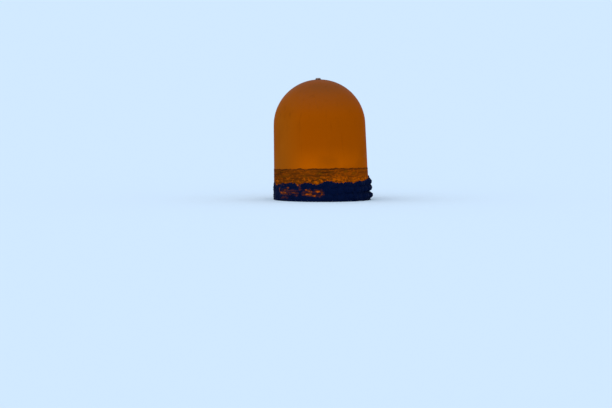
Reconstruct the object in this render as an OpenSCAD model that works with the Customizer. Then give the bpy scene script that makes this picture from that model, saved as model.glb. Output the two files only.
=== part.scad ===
// Navigation marker buoy: a moulded plastic float with a round crown, an iron-ballasted steel tail
// below it, and a mooring swivel with a bow shackle at the tail's end.
// Millimetres, +Z up along the buoy's axis, origin at the centre of the waterline.

/* [Float] */
// Largest diameter of the float, at the parting line of the mould
hull_d = 800; // [600:5:1100]
// Height of the crown above the waterline
freeboard = 1012; // [800:2:1300]
// Depth of the parting line below the waterline
parting_depth = 70; // [40:1:120]
// Draft of the sides in the mould, in degrees
draft = 1.15; // [0.6:0.05:2.5]
// Depth of the flat base below the waterline
base_depth = 420; // [320:2:560]
// Diameter of the base, before its edge is rounded
base_d = 470; // [430:2:560]
// Depth of the threaded inserts in the base
insert_len = 45; // [30:1:80]
// Radius of the base's rounded edge
base_round = 50; // [20:1:70]
// Height of the ridge along the parting line
seam_h = 12; // [6:0.5:20]
// How far the ridge stands out
seam_out = 4; // [2:0.5:8]

/* [Fill plug] */
// Diameter of the flat on the crown that the plug seals on
crown_flat_d = 64; // [56:1:90]
// Thread diameter of the plug
plug_d = 33; // [20:0.5:40]
// Length of the plug's threaded stem
plug_len = 26; // [16:1:40]
// Width of the plug's hexagon head across its flats
plug_af = 36; // [36:1:46]
// Height of the plug's head
plug_head_h = 10; // [6:0.5:16]
// Outer diameter of the plug's sealing ring
gasket_d = 48; // [46:1:54]
// Thickness of the sealing ring
gasket_t = 3; // [1.5:0.5:5]

/* [Growth] */
// Height of the crust of dried weed above the waterline
crust_top = 148; // [100:1:220]
// Extra height of the crust at its tuft on the +X side
crust_rise = 40; // [0:1:90]
// Rise of the crust's upper edge from its middle to the -Y side
crust_tilt = 10; // [0:1:20]
// Thickness of the crust on the -X side
crust_t = 2.5; // [1.5:0.5:14]
// Extra thickness of the crust on the +X side
crust_t_rise = 6; // [0:0.5:24]
// Width of a lump of the crust
lump_w = 58; // [40:1:80]
// How far a lump stands out on the -X side
lump_h = 5; // [2:0.5:14]
// How much further a lump stands out on the +X side
lump_h_rise = 23; // [0:0.5:30]

/* [Tail] */
// Thickness of the rubber pad under the float
pad_t = 5; // [3:0.5:10]
// Diameter of the base plate and its pad
plate_d = 340; // [320:2:380]
// Thickness of the base plate
plate_t = 12; // [8:0.5:20]
// Number of bolts that hold the base plate
plate_bolts = 8; // [4:4:12]
// Diameter of the bolt circle
plate_pcd = 280; // [270:1:296]
// Diameter of the bolt holes
plate_hole_d = 22; // [14:0.5:24]
// Outer diameter of the tail tube
tube_d = 114.3; // [90:0.1:140]
// Wall of the tail tube
tube_wall = 6.3; // [4:0.1:12]
// Length of the tail tube
tube_len = 720; // [500:5:1100]

/* [Gussets] */
// Number of gussets round the tube
gusset_count = 4; // [3:1:4]
// How far a gusset reaches out from the buoy's axis
gusset_reach = 158; // [140:1:164]
// Height of a gusset
gusset_h = 170; // [120:1:240]
// Thickness of a gusset
gusset_t = 10; // [8:0.5:16]
// Width of a gusset's lower end and height of its outer edge
gusset_nose = 24; // [12:1:30]
// Radius of the cut-out that clears the weld in a gusset's corner
gusset_cope = 11; // [6:0.5:16]
// Diameter of the shackle hole in a gusset
eye_hole_d = 26; // [18:0.5:30]

/* [Ballast] */
// Number of ballast rings
ballast_count = 4; // [2:1:6]
// Diameter of a ballast ring
ballast_d = 300; // [240:2:340]
// Height of a ballast ring
ballast_h = 45; // [30:1:60]
// Bevel of a ring's rims
ballast_bevel = 6; // [2:0.5:10]
// Height of the clamp collar above the rings
collar_h = 32; // [24:1:50]
// Radial thickness of the clamp collar
collar_wall = 20; // [12:0.5:30]
// How far the clamp's ears stand out from the collar
ear_out = 34; // [26:1:44]
// Thickness of each ear
ear_t = 14; // [10:0.5:20]
// Gap between the ears
ear_gap = 6; // [3:0.5:12]
// Diameter of the clamp bolt's hole
ear_hole_d = 14; // [8:0.5:16]

/* [Swivel] */
// Diameter of the tail's end plate
end_d = 230; // [200:2:280]
// Thickness of the end plate
end_t = 16; // [10:0.5:24]
// Diameter of the swivel housing's flange
flange_d = 156; // [150:1:180]
// Thickness of the flange
flange_t = 14; // [10:0.5:20]
// Number of flange bolts
flange_bolts = 6; // [4:1:8]
// Diameter of the flange's bolt circle
flange_pcd = 128; // [124:1:132]
// Diameter of the flange's bolt holes
flange_hole_d = 13; // [9:0.5:14]
// Diameter of the tapped holes in the end plate
tap_d = 10.5; // [6:0.5:12]
// Diameter of the housing's barrel
barrel_d = 92; // [86:1:98]
// Length of the barrel below the flange
barrel_len = 58; // [45:1:80]
// Diameter of the chamber that the shank's head turns in
chamber_d = 68; // [64:0.5:76]
// Depth of that chamber
chamber_h = 34; // [28:1:42]
// Diameter of the swivel shank
shank_d = 40; // [30:0.5:44]
// Diameter of the shank's head
head_d = 60; // [50:0.5:62]
// Height of the shank's head
head_h = 26; // [16:0.5:27]
// Radius of the swivel eye
eye_r = 44; // [38:0.5:46]
// Thickness of the swivel eye
eye_t = 34; // [28:0.5:36]
// Drop from the barrel's end to the eye's centre
eye_drop = 54; // [52:0.5:70]

/* [Shackle] */
// Diameter of the shackle's bar
bar_d = 25; // [20:0.5:28]
// Diameter of the shackle's legs at the ears
leg_d = 28; // [27:0.5:32]
// Diameter of the shackle pin
pin_d = 28; // [20:0.5:30]
// Inside width between the shackle's ears
jaw_w = 46; // [44:0.5:54]
// Inside width across the bow
bow_w = 70; // [60:1:90]
// Inside length from the pin to the crown of the bow
bow_len = 96; // [85:1:120]
// Diameter of the shackle's ears
lug_d = 58; // [50:0.5:64]
// Thickness of the ears
lug_t = 26; // [20:0.5:30]
// Diameter of the flat faces under the pin's head and nut
spot_d = 53; // [52:0.5:58]
// Width across the flats of the pin's head and nut
pin_af = 42; // [40:0.5:44]
// Height of the pin's head
pin_head_h = 16; // [10:0.5:20]
// Height of the nut
nut_h = 22; // [14:0.5:26]
// How far the pin stands out of the nut
pin_end = 17; // [12:0.5:24]
// Depth of the pin's thread
thread_h = 1.6; // [0.8:0.1:2.4]
// Diameter of the cotter hole in the pin's end
cotter_d = 6; // [4:0.5:7]

/* [Hidden] */
$fn = 96;
// Gap between pieces that fit round each other
fit = 0.15;
// Gap between a turning pin and its bore, on each side
play = 0.5;
// Gap under a face that turns on its seat, and behind the crust
seat = 0.3;
cut = 1;

hull_r = hull_d / 2;
seam_z = -parting_depth;
base_z = -base_depth;

// The crown is a sphere, and the sides leave it on its tangent
dome_r = (hull_r - (freeboard - seam_z) * tan(draft)) / (1 / cos(draft) - tan(draft));
dome_z = freeboard - dome_r;
side_top_r = dome_r * cos(draft);
side_top_z = dome_z + dome_r * sin(draft);
crown_z = dome_z + sqrt(pow(dome_r, 2) - pow(crown_flat_d / 2, 2));

// The rounded edge of the base touches the flat base and the tapered sides
taper = atan((hull_r - base_d / 2) / (seam_z - base_z));
edge_back = base_round / tan((90 + taper) / 2);
edge_r = base_d / 2 - edge_back;
edge_side = [base_d / 2 + edge_back * sin(taper), base_z + edge_back * cos(taper)];

// Levels down the tail
plate_top = base_z - pad_t;
tube_top = plate_top - plate_t;
tube_end = tube_top - tube_len;
stack_top = tube_end + ballast_count * ballast_h;
end_bottom = tube_end - end_t;
flange_bottom = end_bottom - flange_t;
barrel_end = flange_bottom - barrel_len;
chamber_floor = end_bottom - chamber_h;
eye_z = barrel_end - eye_drop;

tube_r = tube_d / 2;
collar_r = tube_r + collar_wall;
gusset_hole = [(tube_r + gusset_reach) / 2 + 6, tube_top - gusset_nose - eye_hole_d / 2 - 2];

// Shackle: the legs run from the ears to the bow, and touch its circle
lug_y = (jaw_w + lug_t) / 2;
bow_r = (bow_w + bar_d) / 2;
bow_drop = pin_d / 2 + bow_len - bow_w / 2;
leg_back = sqrt(pow(lug_y, 2) + pow(bow_drop, 2));
leg_len = sqrt(pow(leg_back, 2) - pow(bow_r, 2));
leg_lean = asin(bow_r / leg_back) - atan(lug_y / bow_drop);
// A leg ends this much thicker than the bow, which reaches into it by this angle
leg_step = 0.8;
lap = 1;

// Growth crust: columns round the float and rows from the ridge up
crust_cols = 216;
crust_rows = 19;
crust_foot = seam_z + seam_h / 2 + seat;
lump_cols = round(PI * hull_d / lump_w);
// Radius of a lump in lump widths, and the height in lump widths at which their rows start
lump_reach = 0.58;
lump_start = 0.9;
// Notches in its upper edge: angle, depth, half width in degrees
crust_notches = [[239.3, 6, 2.6], [297.4, 8, 2.4], [312.6, 9, 3]];
// Strokes where it has been rubbed off: first angle and height, last angle and height, half width
rub_strokes = [[206, 100, 207.5, 78, 5], [208, 67, 216.5, 69, 9], [216.5, 69, 225, 65, 8],
               [214, 93, 225, 110, 6], [227, 86, 236.5, 84, 4], [238.4, 76, 239.4, 58, 6],
               [246, 88, 247, 66, 5], [249.5, 67, 260, 60, 10], [250.5, 98, 258.5, 92, 8],
               [260.5, 56, 269, 51, 6], [262.5, 94, 268, 92, 7], [269.8, 88, 270.4, 52, 6]];
// How far a stroke's slopes reach past it, their width, and the share of the thickness that is gone in it
rub_past = 4;
rub_slope = 9;
rub_share = 0.85;

rings = [for (i = [1:ballast_count]) str("ballast_ring_", i)];
gussets = [for (i = [1:gusset_count]) str("gusset_", i)];

// Radius of the float's side at height z, between the parting line and the crown
function side_r(z) = hull_r - (z - seam_z) * tan(draft);

// Circle across the flats, for a hexagon of that size
function hex_d(af) = af / cos(30);

module ring(outer_d, inner_d, h) {
    difference() {
        cylinder(d = outer_d, h = h);
        translate([0, 0, -cut]) cylinder(d = inner_d, h = h + 2 * cut);
    }
}

// Holes on a circle, cut downwards from z = 0
module bolt_holes(count, pcd, d, h) {
    for (i = [0:count - 1])
        rotate((i + 0.5) * 360 / count)
            translate([pcd / 2, 0, -h - cut]) cylinder(d = d, h = h + 2 * cut);
}

module float_profile() {
    difference() {
        union() {
            intersection() {
                translate([0, dome_z]) circle(dome_r, $fn = 180);
                translate([0, dome_z]) square([dome_r, dome_r]);
            }
            polygon([[0, base_z], [edge_r, base_z], edge_side, [hull_r, seam_z],
                     [side_top_r, side_top_z], [0, side_top_z]]);
            translate([edge_r, base_z + base_round]) circle(base_round);
            polygon([[hull_r - seam_h, seam_z - seam_h / 2], [hull_r, seam_z - seam_h / 2],
                     [hull_r + seam_out, seam_z - seam_h / 4], [hull_r + seam_out, seam_z + seam_h / 4],
                     [hull_r, seam_z + seam_h / 2], [hull_r - seam_h, seam_z + seam_h / 2]]);
        }
        translate([0, crown_z]) square([crown_flat_d, dome_r]);
        translate([0, crown_z - plug_len - 4]) square([plug_d / 2 + fit, plug_len + 4 + cut]);
    }
}

module float_shell() {
    color([0.60, 0.29, 0.03]) difference() {
        rotate_extrude($fn = 180) float_profile();
        translate([0, 0, base_z + insert_len]) bolt_holes(plate_bolts, plate_pcd, plate_hole_d, insert_len);
    }
}

// Side of the crust at angle a, from 0 on the -X side to 1 on the +X side
function crust_side(a) = pow((1 + cos(a)) / 2, 2);

// Depth of a notch in the crust's upper edge at angle a
function notched(a) = max(concat([0], [for (n = crust_notches) n[1] * (1 - pow((a - n[0]) / n[2], 2))]));

// Upper edge of the crust at angle a: wavy and notched, with a tuft on the +X side
function crust_edge(a) = crust_top + crust_rise * pow(max(0, cos(a)), 60) - crust_tilt * sin(a)
    + 5.5 * sin(7 * a - 88) + 4.5 * sin(12 * a - 15) + 5.1 * sin(16 * a - 16) - notched(a);

// Middle of lump i of row j in lump widths: off its place, but in line with its row on the +X side
function lump_at(i, j) = let (k = (i + lump_cols) % lump_cols)
    [i + 0.5 + 0.5 * (j % 2) + 0.28 * sin(137.5 * (k + 7 * j)),
     j + 0.5 + 0.26 * sin(99 * k + 61 * j) * (1 - crust_side(360 * k / lump_cols))];

// Height of the lumps at u and w lump widths round and up the float, from 0 between them to 1
function lumps(u, w) = max(concat([0], [for (i = [-1:1], j = [-1:1])
    let (k = floor(u) + i, l = floor(w) + j, d = norm([u, w] - lump_at(k, l)) / lump_reach)
    (0.85 + 0.15 * sin(83 * ((k + lump_cols) % lump_cols) + 140 * l)) * (1 - d * d)]));

// Distance of point p from the line from a to b
function off_line(p, a, b) = let (t = (p - a) * (b - a) / ((b - a) * (b - a)))
    norm(p - a - max(0, min(1, t)) * (b - a));

// How far the crust is rubbed off at angle a and height z, from 0 to 1
function rubbed(a, z) = let (arc = PI * hull_r / 180)
    max([for (s = rub_strokes)
        let (away = off_line([a * arc, z], [s[0] * arc, s[1]], [s[2] * arc, s[3]]))
        max(0, min(1, (s[4] + rub_past - away) / rub_slope))]);

// Thickness of the crust at angle a, height z and share v of its height
function crust_depth(a, z, v) = let (side = crust_side(a))
    (crust_t + crust_t_rise * side + (lump_h + lump_h_rise * side)
        * lumps(a / 360 * lump_cols, (z - crust_foot) / lump_w + lump_start))
    * min(1, 0.4 + 5 * v) * sqrt(1 - 0.9 * pow(max(0, 5 * v - 4), 2)) * (1 - rub_share * rubbed(a, z));

module growth_crust() {
    flat = cos(180 / crust_cols);
    points = concat(
        [for (j = [0:crust_rows], i = [0:crust_cols - 1])
            let (a = i * 360 / crust_cols, v = j / crust_rows,
                 z = crust_foot + v * (crust_edge(a) - crust_foot),
                 r = (side_r(z) + seat) / flat + crust_depth(a, z, v))
            [r * cos(a), r * sin(a), z]],
        [for (j = [crust_rows, 0], i = [0:crust_cols - 1])
            let (a = i * 360 / crust_cols, z = j == 0 ? crust_foot : crust_edge(a),
                 r = (side_r(z) + seat) / flat)
            [r * cos(a), r * sin(a), z]]);
    loops = crust_rows + 3;
    faces = [for (j = [0:loops - 1], i = [0:crust_cols - 1], half = [0, 1])
        let (k = (i + 1) % crust_cols, up = (j + 1) % loops,
             p = j * crust_cols, q = up * crust_cols)
        half == 0 ? [p + i, q + k, p + k] : [p + i, q + i, q + k]];
    color([0.06, 0.07, 0.09]) polyhedron(points, faces);
}

module plug_gasket() {
    color([0.10, 0.10, 0.10]) translate([0, 0, crown_z]) ring(gasket_d, plug_d + 2 * fit, gasket_t);
}

// Hexagon head or nut, with the corners of its upper end bevelled, or of both ends
module hexagon(af, h, both = false) {
    flat_r = af * 0.46;
    corner_r = hex_d(af) / 2;
    drop = (corner_r - flat_r) * tan(30);
    intersection() {
        cylinder(r = corner_r, h = h, $fn = 6);
        rotate_extrude() polygon([[0, 0], [both ? flat_r : corner_r + cut, 0],
                                  [corner_r + (both ? 0 : cut), both ? drop : 0],
                                  [corner_r + (both ? 0 : cut), h - drop - (both ? 0 : cut * tan(30))],
                                  [flat_r, h], [0, h]]);
    }
}

module crown_plug() {
    color([0.45, 0.42, 0.38]) translate([0, 0, crown_z + gasket_t]) {
        hexagon(plug_af, plug_head_h);
        translate([0, 0, -plug_len - gasket_t]) cylinder(d = plug_d, h = plug_len + gasket_t + cut);
    }
}

module base_pad() {
    color([0.12, 0.12, 0.12]) difference() {
        translate([0, 0, plate_top]) cylinder(d = plate_d, h = pad_t);
        translate([0, 0, base_z]) bolt_holes(plate_bolts, plate_pcd, plate_hole_d, pad_t);
    }
}

module base_plate() {
    color([0.62, 0.64, 0.66]) difference() {
        translate([0, 0, tube_top]) cylinder(d = plate_d, h = plate_t);
        translate([0, 0, plate_top]) bolt_holes(plate_bolts, plate_pcd, plate_hole_d, plate_t);
    }
}

module tail_tube() {
    color([0.60, 0.62, 0.64]) translate([0, 0, tube_end]) ring(tube_d, tube_d - 2 * tube_wall, tube_len);
}

// One gusset between the base plate and the tube, with a hole for a lifting or bridle shackle
module gusset(i) {
    color([0.62, 0.64, 0.66]) rotate((i - 1) * 360 / gusset_count) difference() {
        rotate([90, 0, 0]) translate([0, 0, -gusset_t / 2]) linear_extrude(gusset_t) difference() {
            polygon([[tube_r - gusset_t, tube_top], [gusset_reach, tube_top],
                     [gusset_reach, tube_top - gusset_nose],
                     [tube_r + gusset_nose, tube_top - gusset_h],
                     [tube_r - gusset_t, tube_top - gusset_h]]);
            translate(gusset_hole) circle(d = eye_hole_d);
            translate([tube_r, tube_top]) circle(gusset_cope);
        }
        translate([0, 0, tube_top - gusset_h - cut])
            cylinder(r = tube_r + fit / 3, h = gusset_h + 2 * cut);
    }
}

// Split collar that is clamped round the tube, on top of the ballast
module clamp_collar() {
    ear_reach = collar_r + ear_out;
    color([0.58, 0.60, 0.62]) translate([0, 0, stack_top]) difference() {
        union() {
            cylinder(r = collar_r, h = collar_h);
            translate([tube_r, -ear_gap / 2 - ear_t, 0])
                cube([ear_reach - tube_r - collar_h / 2, ear_gap + 2 * ear_t, collar_h]);
            translate([ear_reach - collar_h / 2, ear_gap / 2 + ear_t, collar_h / 2])
                rotate([90, 0, 0]) cylinder(d = collar_h, h = ear_gap + 2 * ear_t);
        }
        translate([0, 0, -cut]) cylinder(r = tube_r + fit, h = collar_h + 2 * cut);
        translate([0, -ear_gap / 2, -cut]) cube([ear_reach + cut, ear_gap, collar_h + 2 * cut]);
        translate([ear_reach - collar_h / 2, ear_gap / 2 + ear_t + cut, collar_h / 2])
            rotate([90, 0, 0]) cylinder(d = ear_hole_d, h = ear_gap + 2 * ear_t + 2 * cut);
    }
}

// Cast-iron ring with bevelled rims; ring 1 lies on the end plate
module ballast_ring(i) {
    bore_r = tube_r + 4 * fit;
    out_r = ballast_d / 2;
    color([0.30, 0.24, 0.20]) translate([0, 0, tube_end + (i - 1) * ballast_h]) rotate_extrude()
        polygon([[bore_r, 0], [out_r - ballast_bevel, 0], [out_r, ballast_bevel],
                 [out_r, ballast_h - ballast_bevel], [out_r - ballast_bevel, ballast_h],
                 [bore_r, ballast_h]]);
}

module end_plate() {
    color([0.60, 0.62, 0.64]) difference() {
        translate([0, 0, end_bottom]) cylinder(d = end_d, h = end_t);
        translate([0, 0, tube_end]) bolt_holes(flange_bolts, flange_pcd, tap_d, end_t);
    }
}

module swivel_housing() {
    color([0.52, 0.54, 0.56]) difference() {
        union() {
            translate([0, 0, flange_bottom]) cylinder(d = flange_d, h = flange_t);
            translate([0, 0, barrel_end]) rotate_extrude() polygon([[0, 0], [barrel_d / 2 - 5, 0],
                [barrel_d / 2, 5], [barrel_d / 2, barrel_len + cut], [0, barrel_len + cut]]);
        }
        translate([0, 0, chamber_floor]) cylinder(d = chamber_d, h = chamber_h + cut);
        translate([0, 0, barrel_end - cut])
            cylinder(r = shank_d / 2 + play, h = chamber_floor - barrel_end + 2 * cut);
        translate([0, 0, end_bottom]) bolt_holes(flange_bolts, flange_pcd, flange_hole_d, flange_t);
    }
}

// Headed shank that turns in the housing, with the eye forged on its end
module swivel_eye() {
    head_z = chamber_floor + seat;
    rim = eye_t * 0.3;
    color([0.50, 0.50, 0.50]) difference() {
        union() {
            translate([0, 0, head_z]) cylinder(d = head_d, h = head_h);
            translate([0, 0, eye_z + eye_r * 0.5])
                cylinder(d = shank_d, h = head_z - eye_z - eye_r * 0.5 + cut);
            translate([0, 0, eye_z]) rotate([90, 0, 0]) rotate_extrude() union() {
                translate([0, -eye_t / 2]) square([eye_r - rim, eye_t]);
                translate([0, -eye_t / 2 + rim]) square([eye_r, eye_t - 2 * rim]);
                for (side = [-1, 1])
                    translate([eye_r - rim, side * (eye_t / 2 - rim)]) circle(rim);
            }
        }
        translate([0, eye_t / 2 + cut, eye_z]) rotate([90, 0, 0])
            cylinder(r = pin_d / 2 + play, h = eye_t + 2 * cut);
    }
}

module shackle_bow() {
    color([0.55, 0.56, 0.57]) translate([0, 0, eye_z]) difference() {
        union() {
            for (side = [-1, 1]) {
                translate([0, side * lug_y + lug_t / 2, 0]) rotate([90, 0, 0]) cylinder(d = lug_d, h = lug_t);
                translate([0, side * lug_y, 0]) rotate([180 + side * leg_lean, 0, 0])
                    cylinder(d1 = leg_d, d2 = bar_d + leg_step, h = leg_len);
            }
            translate([0, 0, -bow_drop]) rotate([90, 0, 90]) rotate(180 - leg_lean - lap)
                rotate_extrude(angle = 180 + 2 * (leg_lean + lap)) translate([bow_r, 0]) circle(d = bar_d);
        }
        translate([0, lug_y + lug_t, 0]) rotate([90, 0, 0])
            cylinder(r = pin_d / 2 + fit, h = 2 * (lug_y + lug_t));
        for (side = [0, 180])
            rotate(side) translate([0, lug_y + lug_t / 2, 0]) rotate([-90, 0, 0])
                cylinder(d = spot_d, h = leg_d);
    }
}

// Pin with a hexagon head, and beyond the nut the core of its thread, with a cotter hole
module shackle_pin() {
    reach = lug_y + lug_t / 2;
    nut_face = reach + seat / 3 + nut_h;
    core_r = pin_d / 2 - thread_h;
    color([0.58, 0.58, 0.58]) translate([0, 0, eye_z]) {
        translate([0, -reach - seat / 3, 0]) rotate([90, 0, 0]) hexagon(pin_af, pin_head_h);
        difference() {
            rotate([-90, 0, 0]) rotate_extrude() polygon([[0, -reach - cut], [pin_d / 2, -reach - cut],
                [pin_d / 2, nut_face], [core_r, nut_face + thread_h], [core_r, nut_face + pin_end - thread_h],
                [core_r - thread_h, nut_face + pin_end], [0, nut_face + pin_end]]);
            translate([0, nut_face + (pin_end + thread_h) / 2, -pin_d]) cylinder(d = cotter_d, h = 2 * pin_d);
        }
    }
}

module shackle_nut() {
    color([0.58, 0.58, 0.58])
        translate([0, lug_y + lug_t / 2 + seat / 3, eye_z]) rotate([-90, 0, 0]) difference() {
            hexagon(pin_af, nut_h, true);
            translate([0, 0, -cut]) cylinder(r = pin_d / 2 + fit / 3, h = nut_h + 2 * cut);
        }
}

float_shell();
growth_crust();
plug_gasket();
crown_plug();
base_pad();
base_plate();
tail_tube();
for (i = [1:gusset_count]) gusset(i);
clamp_collar();
for (i = [1:ballast_count]) ballast_ring(i);
end_plate();
swivel_housing();
swivel_eye();
shackle_bow();
shackle_pin();
shackle_nut();
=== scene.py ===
"""Looks of a moulded navigation marker buoy, built round its packed construction.

The float is weathered orange polyethylene with a film of slime and a black crust of dried weed at the
waterline. Below it are a galvanised tail, rusted ballast rings, a mooring swivel and a bow shackle.
Metres, +Z up along the buoy's axis, origin at the centre of the waterline.
"""

import logging
import math
from dataclasses import dataclass, field
from enum import Enum
from typing import Any, Callable, Optional, Sequence, Union

import bpy
import numpy as np
from mathutils import Matrix, Vector, noise


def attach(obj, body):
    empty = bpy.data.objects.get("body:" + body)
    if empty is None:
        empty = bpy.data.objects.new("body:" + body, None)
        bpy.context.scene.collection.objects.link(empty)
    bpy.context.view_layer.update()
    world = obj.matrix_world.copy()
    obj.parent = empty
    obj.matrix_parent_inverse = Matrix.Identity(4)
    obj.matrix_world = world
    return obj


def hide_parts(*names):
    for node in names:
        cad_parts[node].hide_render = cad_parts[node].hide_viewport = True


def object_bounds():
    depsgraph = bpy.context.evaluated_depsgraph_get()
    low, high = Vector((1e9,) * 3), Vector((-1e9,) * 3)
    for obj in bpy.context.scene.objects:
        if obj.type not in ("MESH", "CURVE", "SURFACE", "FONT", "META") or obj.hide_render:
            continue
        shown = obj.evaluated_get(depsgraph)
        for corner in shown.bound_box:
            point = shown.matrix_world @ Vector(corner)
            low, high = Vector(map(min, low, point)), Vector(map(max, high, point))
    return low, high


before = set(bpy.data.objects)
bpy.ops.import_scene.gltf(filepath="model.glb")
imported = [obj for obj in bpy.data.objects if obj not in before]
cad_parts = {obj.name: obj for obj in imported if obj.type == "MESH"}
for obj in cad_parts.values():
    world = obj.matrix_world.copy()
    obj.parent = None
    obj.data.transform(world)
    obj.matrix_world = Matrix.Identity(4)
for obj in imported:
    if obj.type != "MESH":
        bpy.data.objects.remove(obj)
CAD_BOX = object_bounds()

LOG = logging.getLogger("buoy")
MM = 0.001
Colour = tuple[float, float, float, float]
Point = Sequence[float]
Shape = tuple[list[Point], list[Sequence[int]]]
# A length, or a function that gives it at an angle
Round = Union[float, Callable[[float], float]]
# Socket type of a geometry tree's input, for each kind of value
SOCKETS = {int: "NodeSocketInt", float: "NodeSocketFloat", bpy.types.Material: "NodeSocketMaterial"}

# Largest radius of the float
HULL_WIDEST = 0.400
# Slope of the old waterline that the growth follows, along X and along Y
GROWTH_SLOPE = (-0.0126, -0.0431)
# Height of the slime's upper line above that waterline
SLIME_LINE = 0.2628


def linear(value: float) -> float:
    """One screen channel, from 0 to 1, as a linear one."""
    return value / 12.92 if value <= 0.04045 else ((value + 0.055) / 1.055) ** 2.4


def rgb(red: float, green: float, blue: float) -> Colour:
    """A linear colour from screen values of 0 to 255."""
    return (linear(red / 255), linear(green / 255), linear(blue / 255), 1.0)


class Body(Enum):
    """The construction's moving bodies."""

    FLOAT = "float_body"
    SWIVEL = "swivel"
    SHACKLE = "shackle"


class Slot(Enum):
    """The material slots."""

    PLASTIC = "float_plastic"
    GROWTH = "growth"
    RUBBER = "rubber_seal"
    PLUG = "plug_steel"
    GALVANISED = "galvanised"
    IRON = "ballast_iron"
    FORGED = "forged_steel"


# Shader and geometry trees, written as Python expressions


class Wire:
    """An output socket that is added, multiplied and compared like a number."""

    def __init__(self, tree: "Tree", socket: bpy.types.NodeSocket) -> None:
        """Wraps an output socket of a tree."""
        self.tree = tree
        self.socket = socket

    def _math(self, operation: str, first: Any, second: Any = 0.0, clamp: bool = False) -> "Wire":
        """Adds a Math node.

        Args:
            operation: The node's operation.
            first: A value or a wire.
            second: A value or a wire.
            clamp: Whether the result stays between 0 and 1.

        Returns:
            The node's result.
        """
        settings = {"operation": operation, "use_clamp": clamp}
        return self.tree.add("ShaderNodeMath", settings, {0: first, 1: second}).out()

    def __add__(self, other: Any) -> "Wire":
        """self + other."""
        return self._math("ADD", self, other)

    __radd__ = __add__

    def __sub__(self, other: Any) -> "Wire":
        """self - other."""
        return self._math("SUBTRACT", self, other)

    def __rsub__(self, other: Any) -> "Wire":
        """other - self."""
        return self._math("SUBTRACT", other, self)

    def __mul__(self, other: Any) -> "Wire":
        """self * other."""
        return self._math("MULTIPLY", self, other)

    __rmul__ = __mul__

    def __pow__(self, other: Any) -> "Wire":
        """self to the power of other."""
        return self._math("POWER", self, other)

    def __abs__(self) -> "Wire":
        """The value without its sign."""
        return self._math("ABSOLUTE", self)

    def clamped(self) -> "Wire":
        """The value kept between 0 and 1."""
        return self._math("ADD", self, 0.0, True)

    def largest(self, other: Any) -> "Wire":
        """The larger of the two values."""
        return self._math("MAXIMUM", self, other)

    def step(self, low: float, high: float) -> "Wire":
        """A smooth step, up or down.

        Args:
            low: The value at which it is 0.
            high: The value at which it is 1, which may be the smaller.

        Returns:
            The step, from 0 to 1.
        """
        settings = {"interpolation_type": "SMOOTHSTEP"}
        inputs = {"Value": self, "From Min": low, "From Max": high}
        return self.tree.add("ShaderNodeMapRange", settings, inputs).out()


class Node:
    """A node whose outputs are read as wires."""

    def __init__(self, tree: "Tree", node: bpy.types.Node) -> None:
        """Wraps a node of a tree."""
        self.tree = tree
        self.node = node

    def out(self, name: Union[str, int] = 0) -> Wire:
        """The output of that name or place."""
        return Wire(self.tree, self.node.outputs[name])


class Tree:
    """A node tree."""

    def __init__(self, tree: bpy.types.NodeTree) -> None:
        """Wraps an empty node tree."""
        self.tree = tree

    def add(self, kind: str, settings: dict[str, Any], inputs: dict[Any, Any]) -> Node:
        """Adds a node.

        Args:
            kind: The node's type.
            settings: Its own settings, which are set first.
            inputs: A value or a wire for each socket, by name or place.

        Returns:
            The new node.
        """
        node = self.tree.nodes.new(kind)
        for name, value in settings.items():
            setattr(node, name, value)
        for name, value in inputs.items():
            if isinstance(value, Wire):
                self.tree.links.new(value.socket, node.inputs[name])
            else:
                node.inputs[name].default_value = value
        return Node(self, node)


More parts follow.
